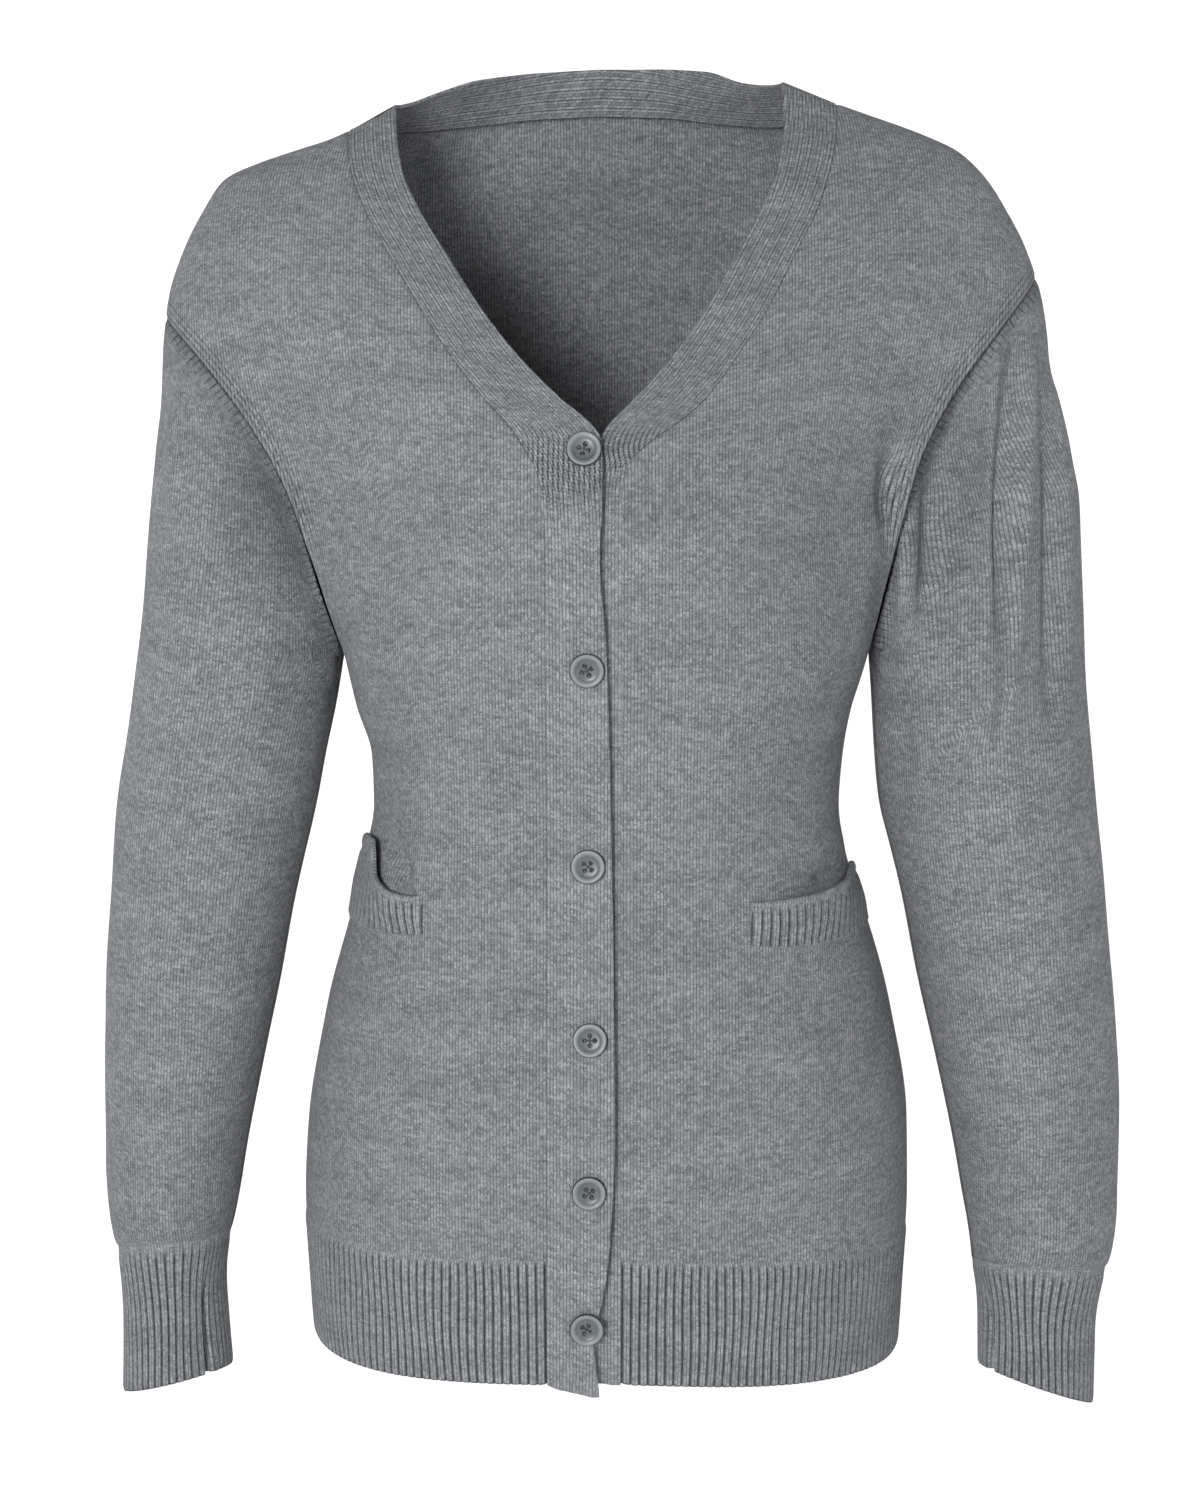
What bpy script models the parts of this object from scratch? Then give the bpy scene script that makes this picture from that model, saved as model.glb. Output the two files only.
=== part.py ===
"""A button cardigan in fine knit, worn and hollow: V neck, dropped shoulders, long sleeves, ribbed
hem and cuffs, two welt pockets and six buttons. Run it with blender --background --python part.py.

Metres, +Z up. The front faces -Y and the wearer's left is +X. The origin lies between the high
points of the two shoulders. Each cut and sewn piece is one closed cloth wall, worked out from the
tables below: they say where the outline, the seams and the folds lie, and how deep the garment is.
"""

import math

import bmesh
import bpy
import numpy as np
from mathutils import Matrix, Vector

# Driving sizes
WALL = 0.0016  # single knit
BAND_WALL = 0.0024  # the doubled bands
RIB_WALL = 0.0014  # the ribbing between its ribs
RIB_HEIGHT = 0.0009
SEAM_TRIM = 0.0003  # how far each piece stops short of a seam
HEM_PITCH = 0.0044
CUFF_PITCH = 0.0040
WELT_PITCH = 0.0047

UNDERARM_Z = -0.285
ARMHOLE_ROUND = 0.090  # height over which the armhole opens to its full depth
ARMHOLE_DEPTH = 0.047  # from the middle of the garment to the seam, front and back
BODY_POWER = 2.35  # 2 is an ellipse, and more is squarer

HEM_SEAM_Z = -0.582  # at the centre front
HEM_SIDE_DROP = {"right": 0.008, "left": 0.016}  # how much lower the sides hang
HEM_BACK_Z = -0.602  # at the centre back
HEM_HEIGHT = 0.067

LAP_LIFT = 0.0030  # how far the upper front band rides over the lower one
UNDER_LAP_X = 0.020  # the hidden edge of the lower band, past the centre front

BUTTON_RADIUS = 0.0083
BUTTON_HEIGHT = 0.0028
BUTTON_GAP = 0.0006

FRONT_COLUMNS = 10
NECK_COLUMNS = 4  # from the centre back to the shoulder
SLEEVE_ROWS = 13

SIGN = {"right": -1.0, "left": 1.0}
FACING = {"front": -1.0, "back": 1.0}

# The outline seen from the front, from the neck over the shoulder and down the sleeve. The rows
# above zero run up the neck, so that the collar's surface has something to turn towards.
OUTLINE = (
    ("z", "right", "left"),
    (0.170, 0.000, 0.000),
    (0.095, 0.040, 0.041),
    (0.045, 0.068, 0.070),
    (0.020, 0.0890, 0.0890),
    (0.0105, 0.0990, 0.0975),
    (0.0065, 0.1015, 0.1090),
    (0.0028, 0.1045, 0.1190),
    (-0.0038, 0.1130, 0.1377),
    (-0.0113, 0.1285, 0.1600),
    (-0.017, 0.1410, 0.1745),
    (-0.0223, 0.1575, 0.1853),
    (-0.030, 0.1800, 0.1950),
    (-0.0376, 0.1960, 0.2019),
    (-0.0529, 0.2075, 0.2122),
    (-0.073, 0.2180, 0.2235),
    (-0.099, 0.2268, 0.2325),
    (-0.125, 0.2305, 0.2372),
    (-0.152, 0.2320, 0.2425),
    (-0.180, 0.2362, 0.2495),
    (-0.204, 0.2395, 0.2555),
    (-0.257, 0.2448, 0.2592),
    (-0.311, 0.2518, 0.2625),
    (-0.365, 0.2605, 0.2685),
    (-0.419, 0.2654, 0.2742),
    (-0.475, 0.2697, 0.2795),
    (-0.531, 0.2705, 0.2842),
    (-0.588, 0.2712, 0.2850),
    (-0.625, 0.2700, 0.2840),
)

# The armhole seam seen from the front, from the point of the shoulder to the underarm.
ARMHOLE = (
    ("along", "right", "right_z", "left", "left_z"),
    (0.0, 0.2290, -0.108, 0.2300, -0.087),
    (0.2, 0.2035, -0.134, 0.2050, -0.117),
    (0.4, 0.1790, -0.166, 0.1810, -0.149),
    (0.6, 0.1612, -0.199, 0.1630, -0.187),
    (0.8, 0.1480, -0.241, 0.1525, -0.232),
    (1.0, 0.1365, UNDERARM_Z, 0.1435, UNDERARM_Z),
)

# The side of the body and the inner side of the sleeve, seen from the front, below the underarm.
SIDES = (
    ("z", "body_right", "body_left", "sleeve_right", "sleeve_left"),
    (UNDERARM_Z, 0.1365, 0.1435, 0.1375, 0.1445),
    (-0.312, 0.1305, 0.1355, 0.1425, 0.1472),
    (-0.340, 0.1232, 0.1310, 0.1485, 0.1488),
    (-0.367, 0.1228, 0.1290, 0.1535, 0.1515),
    (-0.395, 0.1280, 0.1340, 0.1600, 0.1580),
    (-0.423, 0.1352, 0.1438, 0.1662, 0.1648),
    (-0.479, 0.1495, 0.1590, 0.1778, 0.1773),
    (-0.536, 0.1592, 0.1680, 0.1905, 0.1908),
    (-0.580, 0.1622, 0.1695, 0.1985, 0.1995),
    (-0.610, 0.1612, 0.1685, 0.2035, 0.2055),
    (-0.640, 0.1603, 0.1672, 0.2070, 0.2085),
    (-0.658, 0.1590, 0.1660, 0.2080, 0.2090),
    (-0.690, 0.1560, 0.1640, 0.2080, 0.2090),
)

# How deep the body is from its side seams forward and back, and where those seams lie in y.
BODY_DEPTH = (
    ("z", "front", "back", "middle"),
    (0.060, 0.020, 0.052, 0.004),
    (0.030, 0.026, 0.058, 0.004),
    (0.000, 0.032, 0.067, 0.004),
    (-0.030, 0.048, 0.078, 0.004),
    (-0.060, 0.064, 0.088, 0.004),
    (-0.100, 0.082, 0.097, 0.004),
    (-0.140, 0.098, 0.101, 0.004),
    (-0.180, 0.110, 0.101, 0.004),
    (-0.230, 0.120, 0.096, 0.004),
    (UNDERARM_Z, 0.115, 0.087, 0.004),
    (-0.366, 0.099, 0.075, 0.004),
    (-0.420, 0.103, 0.086, 0.004),
    (-0.470, 0.112, 0.101, 0.003),
    (-0.550, 0.121, 0.113, 0.002),
    (-0.610, 0.121, 0.111, 0.002),
    (-0.655, 0.117, 0.107, 0.002),
    (-0.690, 0.110, 0.100, 0.002),
)

# Half the sleeve's depth in y, and where its middle hangs.
SLEEVE_DEPTH = (
    ("z", "depth", "middle"),
    (-0.080, 0.050, 0.004),
    (-0.200, 0.056, 0.004),
    (UNDERARM_Z, 0.058, 0.004),
    (-0.350, 0.057, 0.001),
    (-0.450, 0.052, -0.006),
    (-0.560, 0.046, -0.010),
    (-0.612, 0.043, -0.012),
    (-0.700, 0.043, -0.014),
)

CUFF = (
    ("z", "in_right", "out_right", "in_left", "out_left", "depth"),
    (-0.595, 0.2070, 0.2620, 0.2080, 0.2770, 0.0330),
    (-0.625, 0.2085, 0.2630, 0.2095, 0.2758, 0.0330),
    (-0.655, 0.2072, 0.2633, 0.2108, 0.2738, 0.0335),
    (-0.705, 0.2040, 0.2650, 0.2120, 0.2738, 0.0345),
)
# The cuff's seam and its mouth at the outer side, how much higher they are at the inner side, and
# how much higher at the front than midway, since the sleeve hangs forward.
CUFF_ENDS = {
    "right": {"seam": -0.612, "seam_rise": 0.008, "mouth": -0.696, "mouth_rise": 0.014},
    "left": {"seam": -0.623, "seam_rise": 0.003, "mouth": -0.703, "mouth_rise": 0.021},
}
CUFF_FRONT_RISE = 0.009

# The finished V edge of each front and the seam of its band, by height, out from the centre front.
# Below the point of the V the right front laps over the left one, so its edge is past the centre.
V_BAND = (
    ("z", "edge_right", "seam_right", "edge_left", "seam_left"),
    (-0.700, -0.0010, 0.0270, -UNDER_LAP_X, 0.0105),
    (-0.650, 0.0000, 0.0270, -UNDER_LAP_X, 0.0105),
    (-0.608, -0.0020, 0.0268, -UNDER_LAP_X, 0.0105),
    (-0.565, -0.0055, 0.0266, -UNDER_LAP_X, 0.0105),
    (-0.519, -0.0075, 0.0266, -UNDER_LAP_X, 0.0105),
    (-0.380, -0.0060, 0.0265, -UNDER_LAP_X, 0.0105),
    (-0.270, -0.0030, 0.0263, -UNDER_LAP_X, 0.0105),
    (-0.230, 0.0000, 0.0264, -UNDER_LAP_X, 0.0105),
    (-0.201, -0.0012, 0.0275, -0.0195, 0.0107),
    (-0.186, -0.0012, 0.0315, -0.0130, 0.0125),
    (-0.173, -0.0006, 0.0390, -0.0010, 0.0245),
    (-0.165, 0.0050, 0.0448, 0.0040, 0.0365),
    (-0.153, 0.0190, 0.0560, 0.0160, 0.0510),
    (-0.129, 0.0420, 0.0750, 0.0375, 0.0690),
    (-0.105, 0.0605, 0.0905, 0.0540, 0.0845),
    (-0.080, 0.0765, 0.1055, 0.0685, 0.0975),
    (-0.055, 0.0920, 0.1195, 0.0820, 0.1100),
    (-0.034, 0.1010, 0.1272, 0.0900, 0.1170),
    (-0.015, 0.1048, 0.1300, 0.0942, 0.1210),
    (0.015, 0.1080, 0.1310, 0.0952, 0.1235),
)
LIFT_FULL_Z = -0.166  # the upper band rides over the lower one below this height
LIFT_NONE_Z = -0.128

# The back neck seam and the finished edge above it, as heights across the back of the neck.
BACK_NECK = (
    ("across", "seam_right", "seam_left", "edge_right", "edge_left"),
    (0.0, 0.004, 0.004, 0.0280, 0.0280),
    (0.3, 0.002, 0.003, 0.0262, 0.0280),
    (0.6, -0.003, -0.001, 0.0208, 0.0252),
    (0.8, -0.0075, -0.004, 0.0124, 0.0176),
)

# Rows that the fronts, bands and back share. Below the underarm they are shares of the height from
# the hem seam up, and a pocket's slit lies between the two that are close together. Above it they
# are heights on the seam of the band.
LOWER_ROWS = (0.0, 0.09, 0.18, 0.27, 0.36, 0.45, 0.548, 0.560, 0.64, 0.73, 0.82, 0.91, 1.0)
SLIT_ROW = 6
UPPER_ROWS = (-0.255, -0.226, -0.201, -0.186, -0.173, -0.160, -0.140, -0.112, -0.082, -0.054, -0.032, -0.018)
SLIT_FIRST_COLUMN = {"right": 5, "left": 4}

# The largest soft folds: a line seen from the front or back, how wide and how high it is, and a
# height below zero for a trough.
FOLDS = (
    ("side", "face", "part", "x0", "z0", "x1", "z1", "wide", "high"),
    ("left", "front", "sleeve", 0.196, -0.150, 0.216, -0.400, 0.013, 0.0050),
    ("left", "front", "sleeve", 0.183, -0.165, 0.172, -0.270, 0.009, -0.0045),
    ("left", "front", "sleeve", 0.222, -0.160, 0.222, -0.270, 0.008, -0.0035),
    ("left", "front", "sleeve", 0.165, -0.200, 0.160, -0.290, 0.007, 0.0040),
    ("left", "front", "sleeve", 0.240, -0.180, 0.262, -0.420, 0.010, -0.0025),
    ("left", "front", "sleeve", 0.190, -0.410, 0.220, -0.450, 0.014, -0.0035),
    ("right", "front", "sleeve", 0.205, -0.290, 0.215, -0.380, 0.013, -0.0030),
    ("right", "front", "sleeve", 0.170, -0.250, 0.178, -0.330, 0.012, 0.0035),
    ("right", "front", "sleeve", 0.200, -0.450, 0.225, -0.470, 0.010, -0.0025),
    ("left", "back", "sleeve", 0.200, -0.180, 0.212, -0.380, 0.014, 0.0045),
    ("left", "back", "sleeve", 0.225, -0.330, 0.180, -0.400, 0.012, -0.0035),
    ("right", "back", "sleeve", 0.195, -0.180, 0.208, -0.360, 0.014, 0.0040),
    ("right", "back", "sleeve", 0.220, -0.350, 0.175, -0.410, 0.012, -0.0035),
    ("right", "front", "body", 0.118, -0.310, 0.106, -0.390, 0.013, -0.0035),
    ("left", "front", "body", 0.060, -0.560, 0.115, -0.590, 0.018, -0.0035),
    ("left", "front", "body", 0.075, -0.485, 0.125, -0.478, 0.010, 0.0025),
    ("right", "front", "body", 0.125, -0.215, 0.080, -0.250, 0.022, -0.0035),
    ("left", "front", "body", 0.132, -0.190, 0.095, -0.240, 0.020, -0.0035),
    ("right", "back", "body", 0.105, -0.330, 0.030, -0.372, 0.016, -0.0040),
    ("left", "back", "body", 0.100, -0.345, 0.025, -0.390, 0.016, -0.0040),
    ("right", "back", "body", 0.120, -0.200, 0.100, -0.290, 0.016, 0.0040),
    ("left", "back", "body", 0.125, -0.195, 0.102, -0.280, 0.016, 0.0040),
)

# A pocket welt's seam and its mouth, seen from the front, and how far the mouth stands out.
WELTS = (
    ("along", "right", "right_z", "left", "left_z"),
    (0.00, 0.0904, -0.4239, 0.0765, -0.4270),
    (0.35, 0.1015, -0.4250, 0.0985, -0.4300),
    (0.70, 0.1200, -0.4262, 0.1190, -0.4305),
    (1.00, 0.1362, -0.4270, 0.1440, -0.4290),
)
MOUTHS = (
    ("along", "right", "right_z", "right_out", "left", "left_z", "left_out"),
    (0.00, 0.0905, -0.4035, 0.0000, 0.0771, -0.4052, 0.0000),
    (0.25, 0.0985, -0.4045, 0.0010, 0.0915, -0.4048, 0.0006),
    (0.45, 0.1055, -0.4040, 0.0022, 0.1030, -0.4047, 0.0012),
    (0.62, 0.1120, -0.3975, 0.0035, 0.1135, -0.4040, 0.0020),
    (0.78, 0.1128, -0.3865, 0.0035, 0.1225, -0.4025, 0.0030),
    (0.90, 0.1150, -0.3805, 0.0025, 0.1290, -0.4003, 0.0035),
    (1.00, 0.1210, -0.3800, 0.0012, 0.1345, -0.3985, 0.0020),
)
BAG_ROWS = (2, 8)  # the pocket bag hangs between these rows of its front
BAG_DEPTH = 0.0023  # from the outer face of the front to that of the bag

# The buttons' centres, right of the centre front as worn.
BUTTONS = (
    ("x", "z"),
    (-0.0077, -0.178),
    (-0.0063, -0.283),
    (-0.0060, -0.384),
    (-0.0050, -0.470),
    (-0.0055, -0.545),
    (-0.0066, -0.616),
)

KNIT_GREY = (0.168, 0.182, 0.196, 1.0)
RIB_GREY = (0.150, 0.165, 0.178, 1.0)
BUTTON_GREY = (0.120, 0.135, 0.145, 1.0)


def columns(rows):
    """A table's columns by name, as arrays."""
    return {name: np.array([row[k] for row in rows[1:]]) for k, name in enumerate(rows[0])}


def smooth(at, knots, values):
    """A smooth curve through a table's rows that never swings past them."""
    order = np.argsort(knots)
    knots, values = knots[order], values[order]
    step = np.diff(knots)
    rise = np.diff(values) / step
    before, after = rise[:-1], rise[1:]
    same_way = before * after > 0
    slope = np.concatenate([rise[:1], np.zeros(len(rise) - 1), rise[-1:]])
    slope[1:-1][same_way] = (2 * before * after)[same_way] / (before + after)[same_way]
    at = np.clip(at, knots[0], knots[-1])
    k = np.clip(np.searchsorted(knots, at) - 1, 0, len(step) - 1)
    t = (at - knots[k]) / step[k]
    ends = values[k] * (1 + 2 * t) * (1 - t) ** 2 + values[k + 1] * t * t * (3 - 2 * t)
    return ends + step[k] * (slope[k] * t * (1 - t) ** 2 - slope[k + 1] * t * t * (1 - t))


def dense(rows, x_name, z_name, by=None):
    """Many points of a smooth line through two columns, spaced by the line's own length."""
    table = columns(rows)
    x, z = table[x_name], table[z_name]
    at = table[by] if by else np.concatenate([[0], np.cumsum(np.hypot(np.diff(x), np.diff(z)))])
    many = np.linspace(at[0], at[-1], 600)
    return smooth(many, at, x), smooth(many, at, z)


NECK_SHARES = np.sin(np.linspace(0, math.pi / 2, NECK_COLUMNS + 1))
OUTLINES = {side: dense(OUTLINE, side, "z") for side in SIGN}
ARMHOLES = {side: dense(ARMHOLE, side, side + "_z", by="along") for side in SIGN}
SIDE = columns(SIDES)
BODY = columns(BODY_DEPTH)
SLEEVE = columns(SLEEVE_DEPTH)
CUFFS = columns(CUFF)
BAND = columns(V_BAND)


def reach(side, z):
    """How far out the garment's outline is at a height."""
    x_line, z_line = OUTLINES[side]
    return np.interp(-z, -z_line, x_line)


def ridge(side, x):
    """The height of the shoulder's outline."""
    x_line, z_line = OUTLINES[side]
    above = z_line > UNDERARM_Z - 0.02
    return np.interp(x, x_line[above], z_line[above])


def seam_x(side, z):
    """Where the body ends at a height: at the armhole seam, or below it at the side."""
    x_line, z_line = ARMHOLES[side]
    below = smooth(z, SIDE["z"], SIDE["body_" + side])
    return np.where(z > UNDERARM_Z, np.interp(-z, -z_line, x_line), below)


def sleeve_in_x(side, z):
    x_line, z_line = ARMHOLES[side]
    below = smooth(z, SIDE["z"], SIDE["sleeve_" + side])
    return np.where(z > UNDERARM_Z, np.interp(-z, -z_line, x_line), below)


def rounded(share):
    """The square of a quarter circle's height: 0 at the edge and 1 from one radius inwards."""
    share = np.minimum(share, 1)
    return 2 * share - share * share


def folds(side, face, part, x, z):
    """How far the folds of one side push the cloth out."""
    push = np.zeros_like(x)
    for row in FOLDS[1:]:
        if row[:3] != (side, face, part):
            continue
        x0, z0, x1, z1, wide, high = row[3:]
        run = (x1 - x0) ** 2 + (z1 - z0) ** 2
        along = ((x - x0) * (x1 - x0) + (z - z0) * (z1 - z0)) / run
        near = np.clip(along, 0, 1)
        off = np.hypot(x - x0 - near * (x1 - x0), z - z0 - near * (z1 - z0))
        fade = 0.35 + 0.65 * np.sin(np.pi * near)
        push = push + high * fade * np.exp(-((off / wide) ** 2))
    return push


def squared_depth(side, face, part, x, z):
    """The square of the cloth's distance in y from the middle of its part. It falls through zero
    at the outline, so that front and back meet there in one round edge."""
    if part == "cuff":
        inner = smooth(z, CUFFS["z"], CUFFS["in_" + side])
        outer = smooth(z, CUFFS["z"], CUFFS["out_" + side])
        half = (outer - inner) / 2
        across = (x - inner - half) / half
        return smooth(z, CUFFS["z"], CUFFS["depth"]) ** 2 * (1 - across**2)
    out_gap = reach(side, z) - x
    up_gap = np.where(z > UNDERARM_Z, ridge(side, x) - z, 1.0)
    edge = np.sign(out_gap) * np.abs(out_gap * up_gap) / np.sqrt(out_gap**2 + up_gap**2 + 1e-12)
    low_z = np.minimum(z, UNDERARM_Z)
    round_off = (reach(side, low_z) - sleeve_in_x(side, low_z)) / 2
    above = np.clip((z - UNDERARM_Z) / ARMHOLE_ROUND, 0, 1)
    at_seam = ARMHOLE_DEPTH**2 * rounded(above)
    if part == "sleeve":
        full = smooth(z, SLEEVE["z"], SLEEVE["depth"]) ** 2
        inner = rounded((x - sleeve_in_x(side, z)) / round_off)
        depth = rounded(edge / round_off) * (at_seam + (full - at_seam) * inner)
    else:
        across = np.abs(x) / seam_x(side, z)
        falls = 1 - across**BODY_POWER
        power = 2 / BODY_POWER + 0.65 * above
        full = smooth(z, BODY["z"], BODY[face]) ** 2
        depth = full * np.sign(falls) * np.abs(falls) ** power + at_seam * np.minimum(across, 1) ** 5
        depth = depth * np.where(z > UNDERARM_Z, rounded(edge / round_off), 1)
    return depth * (1 + folds(side, face, part, x, z) / np.sqrt(np.abs(depth) + 0.0004)) ** 2


def middle_y(part, z):
    table = BODY if part == "body" else SLEEVE
    return smooth(z, table["z"], table["middle"])


def surface(side, face, part, x, z):
    """Points of the cloth's outer face above places seen from the front, and their normals."""
    x, z = np.broadcast_arrays(np.asarray(x, float), np.asarray(z, float))
    depth = np.sqrt(np.maximum(squared_depth(side, face, part, x, z), 0))
    lean = FACING[face] * depth
    tiny = 0.0001

    def slope(dx, dz):
        ahead = squared_depth(side, face, part, x + dx, z + dz)
        behind = squared_depth(side, face, part, x - dx, z - dz)
        return (ahead - behind) / (2 * tiny)

    drift = (middle_y(part, z + tiny) - middle_y(part, z - tiny)) / (2 * tiny)
    normal = np.stack(
        [-SIGN[side] * slope(tiny, 0), 2 * lean, -slope(0, tiny) - 2 * lean * drift], axis=-1
    )
    normal /= np.linalg.norm(normal, axis=-1, keepdims=True)
    return np.stack([SIGN[side] * x, middle_y(part, z) + lean, z], axis=-1), normal


def patch(bottom, top, left, right, across, up):
    """A grid of places inside four boundary lines, each a list of (x, z)."""
    a, u = across[None, :, None], up[:, None, None]
    corners = (1 - u) * ((1 - a) * bottom[0] + a * bottom[-1]) + u * ((1 - a) * top[0] + a * top[-1])
    lines = (1 - u) * bottom[None] + u * top[None] + (1 - a) * left[:, None] + a * right[:, None]
    return lines - corners


def trimmed(points, **by):
    """The grid with its edges drawn in from the seams they meet."""
    points = points.copy()
    for edge, distance in by.items():
        at, beside = {
            "first_row": (np.s_[0], np.s_[1]),
            "last_row": (np.s_[-1], np.s_[-2]),
            "first_column": (np.s_[:, 0], np.s_[:, 1]),
            "last_column": (np.s_[:, -1], np.s_[:, -2]),
        }[edge]
        way = points[beside] - points[at]
        points[at] += distance * way / np.linalg.norm(way, axis=-1, keepdims=True)
    return points


def material(name, colour, roughness):
    made = bpy.data.materials.new(name)
    made.use_nodes = True
    shader = made.node_tree.nodes["Principled BSDF"]
    shader.inputs["Base Color"].default_value = colour
    shader.inputs["Roughness"].default_value = roughness
    shader.inputs["Metallic"].default_value = 0.0
    made.diffuse_color = colour
    return made


def add_object(name, points, faces, colour, roughness=0.9):
    """One closed body from points and faces, with its faces turned outwards."""
    mesh = bpy.data.meshes.new(name)
    mesh.from_pydata([tuple(p) for p in points], [], faces)
    build = bmesh.new()
    build.from_mesh(mesh)
    loose = [v for v in build.verts if not v.link_faces]
    bmesh.ops.delete(build, geom=loose, context="VERTS")
    bmesh.ops.recalc_face_normals(build, faces=build.faces)
    if build.calc_volume(signed=True) < 0:
        bmesh.ops.reverse_faces(build, faces=build.faces)
    build.to_mesh(mesh)
    build.free()
    mesh.materials.append(material(name, colour, roughness))
    obj = bpy.data.objects.new(name, mesh)
    bpy.context.collection.objects.link(obj)
    return obj


def cloth_wall(name, points, normals, outward=0.0, thick=WALL, ring=False, slit=None, colour=KNIT_GREY):
    """A wall whose outer face lies on a grid, moved outward, and whose inner face is that face
    moved in by its thickness. A slit leaves out cells (row, first column, last column)."""
    rows, count = points.shape[:2]
    outward = np.broadcast_to(np.asarray(outward, float), (rows, count))[..., None]
    outer = points + normals * outward
    inner = outer - normals * thick
    every = np.concatenate([outer.reshape(-1, 3), inner.reshape(-1, 3)])
    cells = count if ring else count - 1
    there = np.ones((rows - 1, cells), bool)
    if slit:
        there[slit[0], slit[1] : slit[2]] = False

    def at(row, column, inside):
        return inside * rows * count + row * count + column % count

    def present(row, column):
        if ring:
            column %= cells
        return 0 <= row < rows - 1 and 0 <= column < cells and there[row, column]

    faces = []
    for row in range(rows - 1):
        for column in range(cells):
            if not there[row, column]:
                continue
            a, b = (row, column), (row, column + 1)
            c, d = (row + 1, column + 1), (row + 1, column)
            corners = [every[at(*corner, 0)] for corner in (a, b, c, d)]
            long_way = np.linalg.norm(corners[0] - corners[2]) > np.linalg.norm(corners[1] - corners[3])
            halves = ((a, b, d), (b, c, d)) if long_way else ((a, b, c), (a, c, d))
            for half in halves:
                faces.append(tuple(at(*corner, 0) for corner in half))
                faces.append(tuple(at(*corner, 1) for corner in reversed(half)))
            beside = ((a, b, row - 1, column), (b, c, row, column + 1), (c, d, row + 1, column), (d, a, row, column - 1))
            for start, end, next_row, next_column in beside:
                if not present(next_row, next_column):
                    faces += [(at(*end, 0), at(*start, 0), at(*start, 1)), (at(*end, 0), at(*start, 1), at(*end, 1))]
    return add_object(name, every, faces, colour)


def zipped(fine, coarse):
    """Triangles between two rows of points that run side by side. Each coarse step turns on the
    groove between two ribs that is nearest its middle."""
    faces = []
    j = 0
    for i in range(len(fine)):
        middle = (j + 0.5) / (len(coarse) - 1)
        if j < len(coarse) - 1 and i % 2 == 0 and (i + 1) / (len(fine) - 1) > middle:
            faces.append((fine[i], coarse[j + 1], coarse[j]))
            j += 1
        if i < len(fine) - 1:
            faces.append((fine[i], fine[i + 1], coarse[j]))
    return faces


def ribbed_wall(name, cloth, pitch, rows, outward=0.0, ring=False):
    """Ribs raised in the outer points of a wall, over a plain inner face with a point to every
    second rib. cloth gives points and normals for shares round the strip and shares down it."""
    around = cloth(np.linspace(0, 1, 1201), np.full(1201, 0.5))[0]
    length = np.concatenate([[0], np.cumsum(np.linalg.norm(np.diff(around, axis=0), axis=1))])
    ribs = 2 * round(length[-1] / pitch / 2)
    plain = ribs // 2
    fine = np.linspace(0, 1, 2 * ribs + 1)
    coarse = np.linspace(0, 1, plain + 1)
    down = np.array(rows)
    raised = np.where(np.arange(2 * ribs + 1) % 2 == 1, RIB_HEIGHT, 0.0)

    def laid(shares, lifts):
        at = np.interp(shares * length[-1], length, np.linspace(0, 1, len(length)))
        points, normals = cloth(at[None, :], down[:, None])
        return points + normals * lifts[None, :, None]

    outer = laid(fine, outward + raised)
    inner = laid(coarse, np.full(len(coarse), outward - RIB_WALL))
    if ring:
        outer[:, -1], inner[:, -1] = outer[:, 0], inner[:, 0]
    points = np.concatenate([outer.reshape(-1, 3), inner.reshape(-1, 3)])

    def outer_at(row, column):
        return row * len(fine) + (column % (2 * ribs) if ring else column)

    def inner_at(row, column):
        return outer[..., 0].size + row * len(coarse) + (column % plain if ring else column)

    faces = []
    for at, cells in ((outer_at, 2 * ribs), (inner_at, plain)):
        for row in range(len(down) - 1):
            for column in range(cells):
                a, b = at(row, column), at(row, column + 1)
                c, d = at(row + 1, column + 1), at(row + 1, column)
                faces += [(a, b, c), (a, c, d)]
    for row in (0, len(down) - 1):
        first = [outer_at(row, column) for column in range(len(fine))]
        second = [inner_at(row, column) for column in range(len(coarse))]
        faces += zipped(first, second)
    if not ring:
        for outer_end, inner_end in ((0, 0), (2 * ribs, plain)):
            for row in range(len(down) - 1):
                a, b = outer_at(row, outer_end), outer_at(row + 1, outer_end)
                c, d = inner_at(row + 1, inner_end), inner_at(row, inner_end)
                faces += [(a, b, c), (a, c, d)]
    return add_object(name, points, faces, RIB_GREY)


def body_share(count, start):
    """Shares of the way from a start to the side, closer together where the body turns away."""
    first = math.asin(start ** (1 / 0.9))
    angle = first + (math.pi / 2 - first) * np.linspace(0, 1, count + 1)
    share = np.sin(angle) ** 0.9
    return (share - share[0]) / (share[-1] - share[0])


def hem_seam(side, face, across):
    """Height of the hem seam at a share of the way from the centre to the side."""
    drop = HEM_SIDE_DROP[side]
    if face == "front":
        return HEM_SEAM_Z - drop * across**1.5
    return HEM_BACK_Z + (HEM_SEAM_Z - drop - HEM_BACK_Z) * across**2


def band_x(side, line, z):
    return smooth(z, BAND["z"], BAND[line + "_" + side])


def crossing(side, line):
    """Where a line of the band meets the ridge of the shoulder."""
    heights = np.linspace(-0.03, 0.0148, 400)
    x = band_x(side, line, heights)
    above = heights - ridge(side, x)
    z = np.interp(0, above, heights)
    return float(band_x(side, line, np.array(z))), float(z)


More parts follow.
